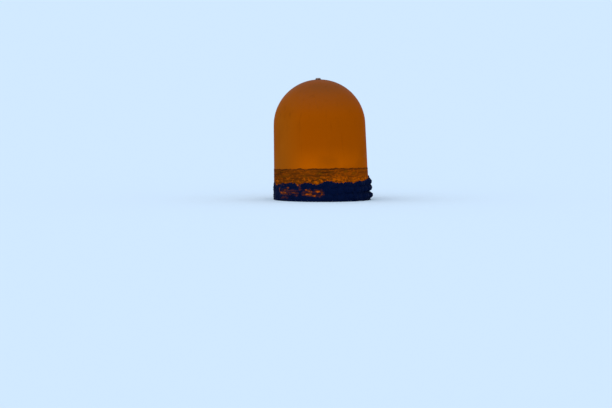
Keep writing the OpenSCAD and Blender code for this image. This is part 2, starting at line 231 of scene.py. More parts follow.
class Paint(Tree):
    """The shader of one material."""

    def __init__(self, name: str) -> None:
        """Makes a material with an empty tree.

        Args:
            name: The material's name.
        """
        self.material = bpy.data.materials.new(name)
        self.material.use_nodes = True
        self.material.node_tree.nodes.clear()
        super().__init__(self.material.node_tree)
        self.place = self.add("ShaderNodeTexCoord", {}, {}).out("Object")
        split = self.add("ShaderNodeSeparateXYZ", {}, {0: self.place})
        self.x, self.y, self.z = split.out("X"), split.out("Y"), split.out("Z")

    def radius(self) -> Wire:
        """Distance from the buoy's axis."""
        return (self.x * self.x + self.y * self.y) ** 0.5

    def distance(self, point: Point) -> Wire:
        """Distance from a point."""
        settings = {"operation": "DISTANCE"}
        return self.add("ShaderNodeVectorMath", settings, {0: self.place, 1: tuple(point)}).out("Value")

    def noise(self, scale: float, detail: float = 3.0, rough: float = 0.55, warp: float = 0.0,
              place: Optional[Wire] = None) -> Wire:
        """Soft noise about 0.5.

        Args:
            scale: Waves to a metre.
            detail: Number of finer octaves.
            rough: Strength of each finer octave.
            warp: How far the noise bends itself.
            place: Coordinates, or None for the object's own.

        Returns:
            The noise.
        """
        inputs = {"Vector": place or self.place, "Scale": scale, "Detail": detail,
                  "Roughness": rough, "Distortion": warp}
        return self.add("ShaderNodeTexNoise", {}, inputs).out("Fac")

    def streaks(self, across: float, up: float, detail: float, rough: float, warp: float) -> Wire:
        """Soft noise of another length up the buoy than round it.

        Args:
            across: Waves to a metre along X and Y.
            up: Waves to a metre along Z.
            detail: Number of finer octaves.
            rough: Strength of each finer octave.
            warp: How far the noise bends itself.

        Returns:
            The noise.
        """
        inputs = {0: self.place, 1: (across, across, up)}
        place = self.add("ShaderNodeVectorMath", {"operation": "MULTIPLY"}, inputs).out()
        return self.noise(1.0, detail, rough, warp, place)

    def cells(self, scale: float, output: str = "Distance", feature: str = "F1") -> Wire:
        """Cell noise.

        Args:
            scale: Cells to a metre.
            output: Distance or Color.
            feature: Which distance it gives.

        Returns:
            That output.
        """
        inputs = {"Vector": self.place, "Scale": scale}
        return self.add("ShaderNodeTexVoronoi", {"feature": feature}, inputs).out(output)

    def mix(self, share: Any, first: Any, second: Any) -> Wire:
        """Mixes two colours.

        Args:
            share: The share of the second colour.
            first: A colour or a wire.
            second: A colour or a wire.

        Returns:
            The mixed colour.
        """
        inputs = {0: share, 6: first, 7: second}
        return self.add("ShaderNodeMix", {"data_type": "RGBA"}, inputs).out(2)

    def relief(self, height: Wire, depth: float, strength: float = 1.0,
               below: Optional[Wire] = None) -> Wire:
        """A normal from a height.

        Args:
            height: The height, from 0 to 1.
            depth: The depth in metres that a height of 1 stands for.
            strength: The share of the relief that shows.
            below: A normal that this one is laid on.

        Returns:
            The new normal.
        """
        inputs = {"Height": height, "Distance": depth, "Strength": strength}
        if below is not None:
            inputs["Normal"] = below
        return self.add("ShaderNodeBump", {}, inputs).out()

    def attribute(self, name: str) -> Wire:
        """A value that the piece carries at its own points."""
        return self.add("ShaderNodeAttribute", {"attribute_name": name}, {}).out("Fac")

    def surface(self, **inputs: Any) -> bpy.types.Material:
        """Ends the tree in a Principled surface.

        Args:
            inputs: A value or a wire for each socket, with _ for a space in its name.

        Returns:
            The finished material.
        """
        named = {name.replace("_", " "): value for name, value in inputs.items()}
        shader = self.add("ShaderNodeBsdfPrincipled", {}, named).out()
        self.add("ShaderNodeOutputMaterial", {}, {"Surface": shader})
        return self.material


class Recipe(Tree):
    """A geometry tree with named inputs, whose result is kept as a plain mesh."""

    def __init__(self, name: str, material: bpy.types.Material, **inputs: Any) -> None:
        """Makes an empty geometry tree.

        Args:
            name: The tree's name.
            material: The material of what it makes.
            inputs: The value of each other input, by its name.
        """
        super().__init__(bpy.data.node_groups.new(name, "GeometryNodeTree"))
        face = self.tree.interface
        face.new_socket("Geometry", in_out="INPUT", socket_type="NodeSocketGeometry")
        self.values = {}
        for label, value in {"Material": material, **inputs}.items():
            item = face.new_socket(label, in_out="INPUT", socket_type=SOCKETS[type(value)])
            self.values[item.identifier] = value
        face.new_socket("Geometry", in_out="OUTPUT", socket_type="NodeSocketGeometry")
        self.inputs = self.add("NodeGroupInput", {}, {})

    def given(self, name: str) -> Wire:
        """One of the tree's inputs."""
        return self.inputs.out(name)

    def chance(self, low: Any, high: Any, seed: int) -> Wire:
        """A random number or vector for each element.

        Args:
            low: The least value: a number, a wire, or three numbers.
            high: The largest value.
            seed: The seed.

        Returns:
            The random value.
        """
        if isinstance(low, tuple):
            inputs = {0: low, 1: high, "Seed": seed}
            return self.add("FunctionNodeRandomValue", {"data_type": "FLOAT_VECTOR"}, inputs).out(0)
        inputs = {2: low, 3: high, "Seed": seed}
        return self.add("FunctionNodeRandomValue", {"data_type": "FLOAT"}, inputs).out(1)

    def scaled(self, vector: Any, size: Any) -> Wire:
        """A vector times a number."""
        inputs = {0: vector, "Scale": size}
        return self.add("ShaderNodeVectorMath", {"operation": "SCALE"}, inputs).out()

    def upright(self, height: Any) -> Wire:
        """A vector along Z."""
        return self.add("ShaderNodeCombineXYZ", {}, {"Z": height}).out()

    def ball(self) -> Wire:
        """A ball of radius 1 with a few dozen faces."""
        inputs = {"Segments": 8, "Rings": 6, "Radius": 1.0}
        return self.add("GeometryNodeMeshUVSphere", {}, inputs).out()

    def instances(self, points: Wire, **inputs: Any) -> Wire:
        """Instances on points, with their Instance, Rotation and Scale as inputs."""
        return self.add("GeometryNodeInstanceOnPoints", {}, {"Points": points, **inputs}).out()

    def grow(self, piece: bpy.types.Object, geometry: Wire, smooth: bool = False) -> bpy.types.Object:
        """Ends the tree, runs it on a piece and keeps the result as its mesh.

        Args:
            piece: The object whose mesh goes in.
            geometry: The finished geometry.
            smooth: Whether the new faces are shaded smooth.

        Returns:
            The same object with its new mesh.
        """
        real = self.add("GeometryNodeRealizeInstances", {}, {0: geometry}).out()
        finish = {"Geometry": real, "Material": self.given("Material")}
        done = self.add("GeometryNodeSetMaterial", {}, finish).out()
        self.add("NodeGroupOutput", {}, {0: done})
        modifier = piece.modifiers.new(self.tree.name, "NODES")
        modifier.node_group = self.tree
        for key, value in self.values.items():
            modifier[key] = value
        bpy.context.view_layer.update()
        graph = bpy.context.evaluated_depsgraph_get()
        mesh = bpy.data.meshes.new_from_object(piece.evaluated_get(graph), depsgraph=graph)
        piece.modifiers.remove(modifier)
        old, piece.data = piece.data, mesh
        bpy.data.meshes.remove(old)
        shade(mesh, smooth)
        return piece


# Meshes


def joined(*shapes: Shape) -> Shape:
    """Several shapes as one.

    Args:
        shapes: The shapes.

    Returns:
        All their points and faces.
    """
    points: list[Point] = []
    faces: list[Sequence[int]] = []
    for more_points, more_faces in shapes:
        start = len(points)
        points += list(more_points)
        faces += [[start + i for i in face] for face in more_faces]
    return points, faces


def stacked(rings: Sequence[Sequence[Point]], capped: bool = True) -> Shape:
    """A skin through rings of equally many points, which run counter-clockwise seen from the last ring.

    Args:
        rings: The rings, from the first to the last.
        capped: Whether the two ends are closed; otherwise the last ring joins the first.

    Returns:
        The skin's points and faces.
    """
    count = len(rings[0])
    points = [point for ring in rings for point in ring]
    last = len(rings) - 1
    faces: list[Sequence[int]] = []
    for j in range(last if capped else last + 1):
        low, high = j * count, (j + 1) % (last + 1) * count
        for i in range(count):
            k = (i + 1) % count
            faces.append((low + i, low + k, high + k, high + i))
    if capped:
        faces.append(list(range(count))[::-1])
        faces.append([last * count + i for i in range(count)])
    return points, faces


def flat_ring(radius: Round, height: Round, steps: int) -> list[Point]:
    """Points round the Z axis.

    Args:
        radius: Their distance from the axis.
        height: Their height.
        steps: Number of points.

    Returns:
        The points, counter-clockwise seen from above.
    """
    angles = [math.tau * i / steps for i in range(steps)]
    radii = [radius(a) if callable(radius) else radius for a in angles]
    heights = [height(a) if callable(height) else height for a in angles]
    return [(r * math.cos(a), r * math.sin(a), z) for a, r, z in zip(angles, radii, heights)]


def lathe(profile: Sequence[tuple[float, float]], steps: int = 48) -> Shape:
    """A closed form turned round Z from radius and height pairs, from the lower end up."""
    return stacked([flat_ring(r, z, steps) for r, z in profile])


def moved(shape: Shape, place: Matrix) -> Shape:
    """A shape put in its place."""
    return [tuple(place @ Vector(point)) for point in shape[0]], shape[1]


def swept(path: Sequence[Point], radius: float, sides: int = 10) -> Shape:
    """A round bar along a path, with closed ends.

    Args:
        path: The points of its middle line.
        radius: The bar's radius.
        sides: Number of sides.

    Returns:
        The bar's points and faces.
    """
    line = [Vector(point) for point in path]
    rings = []
    across = (line[1] - line[0]).orthogonal().normalized()
    for i, middle in enumerate(line):
        along = (line[min(i + 1, len(line) - 1)] - line[max(i - 1, 0)]).normalized()
        across = (across - along * across.dot(along)).normalized()
        other = along.cross(across)
        rings.append([middle + (across * math.cos(a) + other * math.sin(a)) * radius
                      for a in (math.tau * k / sides for k in range(sides))])
    return stacked(rings)


def in_scene(name: str, data: bpy.types.ID) -> bpy.types.Object:
    """Makes an object and links it to the scene.

    Args:
        name: The object's name.
        data: Its mesh, lamp or camera.

    Returns:
        The new object, at the origin.
    """
    thing = bpy.data.objects.new(name, data)
    bpy.context.scene.collection.objects.link(thing)
    return thing


def shade(mesh: bpy.types.Mesh, smooth: bool) -> None:
    """Shades all faces of a mesh smooth or flat."""
    mesh.polygons.foreach_set("use_smooth", [smooth] * len(mesh.polygons))


def keep_inside(piece: bpy.types.Object) -> None:
    """Presses what would stand out of the construction's box back onto its face.

    Args:
        piece: The piece.
    """
    margin = 0.1 * MM
    places = np.empty(len(piece.data.vertices) * 3)
    piece.data.vertices.foreach_get("co", places)
    low, high = (np.array(corner) for corner in CAD_BOX)
    places = np.clip(places.reshape(-1, 3), low + margin, high - margin)
    piece.data.vertices.foreach_set("co", places.ravel())
    piece.data.update()


def piece_from(name: str, shape: Shape, material: bpy.types.Material,
               smooth: bool = False) -> bpy.types.Object:
    """Makes an object at the origin.

    Args:
        name: The object's name.
        shape: Its points and faces, in their place.
        material: Its material.
        smooth: Whether its faces are shaded smooth.

    Returns:
        The new object.
    """
    mesh = bpy.data.meshes.new(name)
    mesh.from_pydata([tuple(point) for point in shape[0]], [], shape[1])
    mesh.materials.append(material)
    shade(mesh, smooth)
    mesh.update()
    return in_scene(name, mesh)


def ride(piece: bpy.types.Object, body: Body, slot: Slot, *nodes: str) -> None:
    """Lets a finished piece move with a body.

    Args:
        piece: The piece.
        body: The body that it moves with.
        slot: A material slot; not used.
        nodes: The construction's nodes that it stands for.
    """
    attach(piece, body.value)
    if nodes:
        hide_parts(*nodes)
    LOG.info("piece %s: %d faces on %s", piece.name, len(piece.data.polygons), body.value)


def dress(material: bpy.types.Material, *nodes: str) -> None:
    """Gives nodes of the construction a material.

    Args:
        material: The new material.
        nodes: The nodes' names.
    """
    for node in nodes:
        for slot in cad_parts[node].material_slots:
            slot.material = material
        LOG.info("node %s: %s", node, material.name)


def numbered(start: str) -> list[str]:
    """The construction's nodes whose names begin with that word."""
    return [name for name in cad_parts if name.startswith(start)]


# Finishes


def growth_level(paint: Paint) -> Wire:
    """Height above the old waterline's plane."""
    return paint.z - paint.x * GROWTH_SLOPE[0] - paint.y * GROWTH_SLOPE[1]


@dataclass(frozen=True)
class SlimeTones:
    """Colours of the dried slime."""

    dark: Colour = rgb(70, 32, 6)
    brown: Colour = rgb(115, 53, 4)
    bright: Colour = rgb(150, 66, 1)
    glow: Colour = rgb(176, 80, 0)
    olive: Colour = rgb(106, 59, 2)

    def colour(self, paint: Paint, level: Wire) -> Wire:
        """Streaked slime, more orange low down.

        Args:
            paint: The material.
            level: Height above the old waterline's plane.

        Returns:
            The colour.
        """
        streaks = paint.streaks(across=7.0, up=75.0, detail=5.0, rough=0.62, warp=0.6)
        patches = paint.streaks(across=16.0, up=40.0, detail=4.0, rough=0.6, warp=0.4)
        colour = paint.mix(streaks.step(0.36, 0.58), self.dark, self.brown)
        colour = paint.mix(patches.step(0.55, 0.68) * 0.7, colour, self.olive)
        colour = paint.mix(paint.x.step(0.0, 0.36) * 0.35, colour, self.bright)
        low = (level + (patches - 0.5) * 0.05).step(0.202, 0.176)
        blots = paint.streaks(across=34.0, up=52.0, detail=4.0, rough=0.6, warp=0.5)
        # More orange towards +X
        blots = blots + (paint.x.step(-0.32, 0.25) * 0.070 - 0.04)
        colour = paint.mix(blots.step(0.47, 0.38) * (0.2 + low * 0.3), colour, self.dark)
        colour = paint.mix(low * blots.step(0.49, 0.60) * 0.85, colour, self.glow)
        return paint.mix((1.0 - low) * blots.step(0.53, 0.64) * 0.7, colour, self.bright)


@dataclass(frozen=True)
class FloatPlastic:
    """Weathered orange moulded polyethylene, stained where the slime lies on it."""

    orange: Colour = rgb(152, 69, 0)
    # Darker, bluer crown colour: painted shade and painted sky reflection
    painted_crown_shade: Colour = rgb(99, 58, 28)
    # Darker orange: a random duller tone, and painted shade higher up and low towards -X
    dull: Colour = rgb(135, 63, 2)
    # Brighter orange: painted light low down, strongest in the middle
    painted_low_light: Colour = rgb(177, 83, 0)
    # Yellower, greyer tint: painted side light towards -X
    tan: Colour = rgb(142, 83, 19)
    dirt: Colour = rgb(101, 48, 3)
    film: Colour = rgb(44, 33, 13)
    film_olive: Colour = rgb(74, 49, 14)

    # Heights between which the crown is painted darker and bluer, as painted shade and painted sky
    # reflection, and shines a little
    crown: tuple[float, float] = (0.70, 0.98)

    def tone(self, paint: Paint, broad: Wire) -> Wire:
        """The plastic's colour: painted shade and painted sky reflection on the crown, painted light low
        down, painted shade higher up and low towards -X, painted side light towards -X, a random duller
        tone, and dirt.

        Args:
            paint: The material.
            broad: Its broadest noise.

        Returns:
            The colour.
        """
        z = paint.z
        left, right = paint.x.step(-0.10, -0.40), paint.x.step(0.10, 0.36)
        # Painted shade and painted sky reflection on the crown
        painted_crown_shade = z.step(*self.crown) * 0.65 + z.step(0.86, 1.0) * 0.35
        # Painted light low down, strongest in the middle and weaker towards the sides
        painted_low_light = z.step(0.50, 0.26) * (0.95 - left * 0.86 - right * 0.42)
        # Painted shade higher up, and low down towards -X
        dull = (z.step(0.50, 0.86) * 0.35).largest(z.step(0.50, 0.30) * left * 0.55)
        runs = paint.streaks(across=30.0, up=1.2, detail=5.0, rough=0.6, warp=0.2)
        runs = runs.step(0.54, 0.72) * z.step(0.2, 0.75)
        specks = paint.cells(70.0).step(0.09, 0.03) * paint.noise(8.0).step(0.50, 0.62)
        colour = paint.mix(painted_crown_shade, self.orange, self.painted_crown_shade)
        colour = paint.mix(painted_low_light, colour, self.painted_low_light)
        colour = paint.mix(dull, colour, self.dull)
        # Painted side light towards -X
        colour = paint.mix(left * 0.45, colour, self.tan)
        colour = paint.mix(broad.step(0.45, 0.68) * 0.5, colour, self.dull)
        colour = paint.mix(runs * 0.28, colour, self.dirt)
        return paint.mix(specks * 0.5, colour, self.dirt)

    def build(self) -> bpy.types.Material:
        """Makes the material.

        Returns:
            The finished material.
        """
        paint = Paint(Slot.PLASTIC.value)
        level = growth_level(paint)
        broad = paint.noise(2.4, detail=3.0, rough=0.5)
        fine = paint.noise(40.0, detail=4.0, rough=0.6)
        stain = (level + (fine - 0.5) * 0.012).step(SLIME_LINE + 0.004, SLIME_LINE - 0.006)
        colour = paint.mix(stain, self.tone(paint, broad), SlimeTones().colour(paint, level))

        # Film of weed below the water
        blots = paint.noise(22.0, detail=5.0, rough=0.62, warp=0.4)
        wet = (level + (blots - 0.5) * 0.10).step(0.02, -0.06)
        drips = paint.streaks(across=26.0, up=9.0, detail=5.0, rough=0.65, warp=0.6)
        film = paint.mix(drips.step(0.40, 0.62), self.film, self.film_olive)
        patchy = (blots * 0.55 + drips * 0.45).step(0.38, 0.56)
        colour = paint.mix(wet * (patchy * 0.35 + 0.60), colour, film)

        peel = paint.noise(160.0, detail=2.0) * 0.5 + paint.noise(420.0, detail=1.0) * 0.3
        scuffs = paint.streaks(across=60.0, up=500.0, detail=3.0, rough=0.5, warp=0.3).step(0.64, 0.72)
        normal = paint.relief(peel, depth=0.0005, strength=0.5)
        normal = paint.relief(1.0 - scuffs * broad, depth=0.0003, strength=0.5, below=normal)
        normal = paint.relief(blots * wet, depth=0.004, strength=0.7, below=normal)
        rough = (fine - 0.5) * 0.18 + 0.40 + scuffs * 0.08 + stain * 0.25
        shine = paint.z.step(*self.crown) * 0.10
        return paint.surface(Base_Color=colour, Roughness=rough, Normal=normal, Specular_IOR_Level=0.001,
                             Coat_Weight=shine, Coat_IOR=1.3, Coat_Roughness=0.2)


@dataclass(frozen=True)
class SlimeFilm:
    """Dried brown slime with a dark upper edge."""

    edge: Colour = rgb(53, 24, 10)

    def build(self) -> bpy.types.Material:
        """Makes the material.

        Returns:
            The finished material.
        """
        paint = Paint("slime_film")
        level = growth_level(paint)
        colour = SlimeTones().colour(paint, level)
        rim = paint.attribute("rim") + (paint.noise(22.0, detail=4.0) - 0.5) * 1.6
        colour = paint.mix(rim.step(0.40, 0.85) * 0.75, colour, self.edge)
        flakes = paint.cells(150.0, "Distance", "DISTANCE_TO_EDGE").step(0.0, 0.16)
        grain = paint.noise(260.0, detail=4.0, rough=0.65)
        normal = paint.relief(flakes * 0.5 + grain, depth=0.0012, strength=0.7)
        return paint.surface(Base_Color=colour, Roughness=grain * 0.3 + 0.5, Normal=normal,
                             Specular_IOR_Level=0.001)


@dataclass(frozen=True)
class Crust:
    """Black crust of dried weed, and the slimed plastic that is bare between its lumps."""

    black: Colour = rgb(0, 11, 42)
    slate: Colour = rgb(3, 22, 53)
    brown: Colour = rgb(35, 21, 21)
    bare: Colour = rgb(176, 76, 2)
    bare_dark: Colour = rgb(78, 33, 18)

    def build(self, name: str, with_bare: bool) -> bpy.types.Material:
        """Makes the material.

        Args:
            name: The material's name.
            with_bare: Whether the piece carries the value that says where the crust has gone.

        Returns:
            The finished material.
        """
        paint = Paint(name)
        grain = paint.noise(190.0, detail=4.0, rough=0.65)
        patch = paint.noise(18.0, detail=3.0)
        colour = paint.mix(grain.step(0.50, 0.74) * 0.55, self.black, self.slate)
        colour = paint.mix(patch.step(0.60, 0.76) * 0.3, colour, self.brown)
        height = paint.cells(85.0) * 0.6 + grain * 0.5
        if with_bare:
            rubbed = paint.attribute("bare") + (grain - 0.5) * 0.22
            thin = rubbed.step(0.34, 0.60)
            streaks = paint.streaks(across=14.0, up=75.0, detail=4.0, rough=0.6, warp=0.8)
            bare = paint.mix((streaks * 0.7 + rubbed * 0.8).step(0.78, 1.12), self.bare_dark, self.bare)
            rim = rubbed.step(0.06, 0.32) * streaks.step(0.38, 0.60) * 0.8
            colour = paint.mix(rim, colour, self.bare_dark)
            colour = paint.mix(thin, colour, bare)
            height = height * (1.0 - thin * 0.7)
        normal = paint.relief(height, depth=0.005, strength=0.7)
        return paint.surface(Base_Color=colour, Roughness=grain * 0.3 + 0.55, Normal=normal,
                             Specular_IOR_Level=0.03)


@dataclass(frozen=True)
class Metal:
    """Weathered metal: its own tone, rust, a film of slime and polished wear."""

    name: str
    clean: Colour
    dull: Colour
    rust: Colour = rgb(94, 46, 19)
    rust_dark: Colour = rgb(44, 23, 14)
    film: Colour = rgb(41, 37, 22)
    polish: Colour = rgb(168, 166, 161)
    # How far rust and film have spread, how it shines, how much its crystals show, and its grain's waves
    rusted: float = 0.3
    filmed: float = 0.4
    shine: float = 0.5
    spangle: float = 0.0
    grain: float = 90.0
    # Where it rusts more than elsewhere, and where it is worn bright
    stained: Optional[Callable[[Paint], Wire]] = None
    worn: Optional[Callable[[Paint], Wire]] = None

    def build(self) -> bpy.types.Material:
        """Makes the material.

        Returns:
            The finished material.
        """
        paint = Paint(self.name)
        broad = paint.noise(14.0, detail=4.0, rough=0.6, warp=0.5)
        grain = paint.noise(self.grain, detail=4.0, rough=0.65)
        pits = paint.noise(self.grain * 4.0, detail=3.0, rough=0.6)
        colour = paint.mix(broad.step(0.35, 0.65), self.clean, self.dull)
        if self.spangle:
            flakes = paint.add("ShaderNodeSeparateColor", {}, {0: paint.cells(130.0, "Color")}).out(0)
            colour = paint.mix(flakes * self.spangle, colour, self.dull)
        film_edge, rust_edge = 0.70 - 0.36 * self.filmed, 0.72 - 0.40 * self.rusted
        film = paint.noise(6.0, detail=5.0, rough=0.62, warp=0.8)
        film = film.step(film_edge - 0.06, film_edge + 0.10) * 0.8
        colour = paint.mix(film, colour, self.film)
        rust = broad * 0.6 + grain * 0.4
        if self.stained:
            rust = rust + self.stained(paint) * 0.30
        rust = rust.step(rust_edge - 0.05, rust_edge + 0.06)
        tone = (pits * 0.6 + broad * 0.4).step(0.40, 0.60)
        colour = paint.mix(rust, colour, paint.mix(tone, self.rust_dark, self.rust))
        bare = (1.0 - rust) * (1.0 - film)
        if self.worn:
            worn = (self.worn(paint) + (grain - 0.5) * 0.4).step(0.45, 0.75)
            colour = paint.mix(worn, colour, self.polish)
            bare = bare.largest(worn)
            rust = rust * (1.0 - worn)
        rough = 0.80 - bare * self.shine * 0.7 + (grain - 0.5) * 0.2
        normal = paint.relief(pits * rust + grain * 0.3, depth=0.0014, strength=0.7)
        return paint.surface(Base_Color=colour, Roughness=rough.clamped(), Metallic=bare * 0.85,
                             Normal=normal)


@dataclass(frozen=True)
class Rubber:
    """Black rubber with a chalky bloom."""

    black: Colour = rgb(21, 21, 22)
    bloom: Colour = rgb(55, 52, 44)

    def build(self) -> bpy.types.Material:
        """Makes the material.

        Returns:
            The finished material.
        """
        paint = Paint(Slot.RUBBER.value)
        haze = paint.noise(40.0, detail=4.0, rough=0.6)
        colour = paint.mix(haze.step(0.42, 0.70) * 0.7, self.black, self.bloom)
        normal = paint.relief(paint.noise(700.0, detail=2.0), depth=0.0004, strength=0.6)
        return paint.surface(Base_Color=colour, Roughness=haze * 0.2 + 0.6, Normal=normal)


# Sub-assemblies


@dataclass
class Float:
    """The moulded float with its fill plug and the rubber pad under it."""

    def build(self) -> None:
        """Dresses the shell, the plug, its sealing ring and the pad."""
        dress(FloatPlastic().build(), "float_shell")
        dress(Rubber().build(), "plug_gasket", "base_pad")
        plug = Metal(Slot.PLUG.value, rgb(159, 135, 121), rgb(126, 101, 86), rusted=0.35, filmed=0.0,
                     shine=0.3)
        dress(plug.build(), "crown_plug")


@dataclass
class LumpField:
    """Rounded lumps in rows round the float, each off its place, by the construction's own rule.

    Round the +X side the lumps stay in line with their rows.
    """

    # A lump's width in metres, and in widths its radius and how far the rows are shifted down
    width: float
    reach: float
    start: float
    # How far a lump may be off its place, in widths, and how much its height varies
    aside: float = 0.28
    above: float = 0.26
    spread: float = 0.15
    # Degrees for each column and each row, in the waves that move a lump aside, lift it and size it
    aside_turns: tuple[float, float] = (137.5, 7 * 137.5)
    above_turns: tuple[float, float] = (99.0, 61.0)
    size_turns: tuple[float, float] = (83.0, 140.0)

    def __post_init__(self) -> None:
        """Works out how many lumps go round the float."""
        self.columns = round(math.tau * HULL_WIDEST / self.width)

    def wave(self, column: np.ndarray, row: np.ndarray, turns: tuple[float, float]) -> np.ndarray:
        """A value from -1 to 1 for the lump in that column and row."""
        return np.sin(np.radians(turns[0] * column + turns[1] * row))

    def height(self, angle: np.ndarray, z: np.ndarray) -> np.ndarray:
        """Height of the lumps, from 0 between them to 1.

        Args:
            angle: Angles in radians.
            z: Heights above the crust's foot.

        Returns:
            The lumps' heights.
        """
        u, w = np.broadcast_arrays(angle / math.tau * self.columns, z / self.width + self.start)
        tallest = np.zeros(u.shape)
        for i in (-1, 0, 1):
            for j in (-1, 0, 1):
                column, row = np.floor(u) + i, np.floor(w) + j
                k = column % self.columns
                free = 1.0 - growth_side(k * math.tau / self.columns)
                off_u = self.aside * self.wave(k, row, self.aside_turns)
                off_w = self.above * self.wave(k, row, self.above_turns) * free
                du = u - (column + 0.5 + 0.5 * (row % 2) + off_u)
                dw = w - (row + 0.5 + off_w)
                size = 1.0 - self.spread + self.spread * self.wave(k, row, self.size_turns)
                tallest = np.maximum(tallest, size * (1.0 - (du * du + dw * dw) / self.reach ** 2))
        return tallest


def growth_side(angle: np.ndarray) -> np.ndarray:
    """Side of the crust, from 0 on the -X side to 1 on the +X side."""
    return ((1.0 + np.cos(angle)) / 2) ** 2


@dataclass(frozen=True)
class Ragged:
    """Soft noise on the float: its strength, its waves to a metre, and how many times more upwards."""

    strength: float
    waves: float
    upwards: float = 1.0

    def at(self, angle: np.ndarray, z: Union[float, np.ndarray]) -> np.ndarray:
        """The noise at places on the float.

        Args:
            angle: Angles in radians.
            z: Heights.

        Returns:
            Values from about half of the strength below 0 to half of it above.
        """
        angle, z = np.broadcast_arrays(angle, z)
        around = (np.cos(angle) * HULL_WIDEST, np.sin(angle) * HULL_WIDEST, z * self.upwards)
        places = np.stack(around, axis=-1) * self.waves
        flat = [noise.noise(Vector(place)) for place in places.reshape(-1, 3)]
        return self.strength * np.array(flat).reshape(angle.shape)


@dataclass(frozen=True)
class Stroke:
    """A short stroke on the crust, from its start's angle and height to its end's.

    Angles are in degrees, and the strength says how orange the stroke is.
    """

    start: float
    low: float
    end: float
    high: float
    half: float
    strength: float = 1.0

    def inside(self, angle: np.ndarray, z: np.ndarray) -> np.ndarray:
        """How far a place lies inside the stroke; less than 0 outside it.

        Args:
            angle: Angles in radians.
            z: Heights.

        Returns:
            The distance from the stroke's edge.
        """
        arc = math.radians(1.0) * HULL_WIDEST
        along, up = np.broadcast_arrays(np.degrees(angle) * arc, z)
        run, rise = (self.end - self.start) * arc, self.high - self.low
        along, up = along - self.start * arc, up - self.low
        part = np.clip((along * run + up * rise) / (run * run + rise * rise), 0.0, 1.0)
        return self.half - np.hypot(along - part * run, up - part * rise)


@dataclass(frozen=True)
class Scatter:
    """Knobs of weed: how many to a square metre, their radii, and the seed of their places."""

    name: str
    density: float
    least: float
    largest: float
    seed: int
    # Least value of the mat's cover that carries them
    covered: float = 0.55
    # Limits of the sizes across and up a knob, as shares of its radius
    slimmest: tuple[float, float, float] = (0.7, 0.7, 0.5)
    fullest: tuple[float, float, float] = (1.25, 1.25, 0.8)
    # Waves to the largest radius, and how far they push the knobs' surface, as a share of it
    grit: float = 0.5
    push: float = 0.9

    def grown(self, bed: bpy.types.Object, material: bpy.types.Material) -> bpy.types.Object:
        """Scatters the knobs over the mat by a geometry tree.

        Args:
            bed: The mat that they sit on.
            material: Their material.

        Returns:
            The knobs as one mesh.
        """
        tree = Recipe(self.name, material, Density=self.density, Least=self.least,
                      Largest=self.largest, Seed=self.seed)
        cover = tree.add("GeometryNodeInputNamedAttribute", {"data_type": "FLOAT"},
                         {"Name": "cover"}).out()
        thick = tree.add("FunctionNodeCompare", {"data_type": "FLOAT", "operation": "GREATER_THAN"},
                         {0: cover, 1: self.covered}).out()
        spots = tree.add("GeometryNodeDistributePointsOnFaces", {"distribute_method": "RANDOM"},
                         {"Mesh": tree.given("Geometry"), "Selection": thick,
                          "Density": tree.given("Density"), "Seed": tree.given("Seed")})
        turn = tree.upright(tree.chance(0.0, math.tau, seed=7))
        facing = tree.add("FunctionNodeRotateRotation", {"rotation_space": "LOCAL"},
                          {0: spots.out("Rotation"), 1: turn}).out()
        squash = tree.chance(self.slimmest, self.fullest, seed=5)
        sizes = tree.scaled(squash, tree.chance(tree.given("Least"), tree.given("Largest"), seed=3))
        knobs = tree.instances(spots.out("Points"), Instance=tree.ball(), Rotation=facing, Scale=sizes)
        real = tree.add("GeometryNodeRealizeInstances", {}, {0: knobs}).out()
        waves = {"Scale": self.grit / self.largest, "Detail": 2.0}
        bumps = tree.add("ShaderNodeTexNoise", {}, waves).out("Color")
        offset = tree.add("ShaderNodeVectorMath", {"operation": "SUBTRACT"},
                          {0: bumps, 1: (0.5, 0.5, 0.5)}).out()
        pushed = {"Geometry": real, "Offset": tree.scaled(offset, self.largest * self.push)}
        rough = tree.add("GeometryNodeSetPosition", {}, pushed).out()
        piece = tree.grow(in_scene(self.name, bed.data.copy()), rough, smooth=True)
        keep_inside(piece)
        return piece


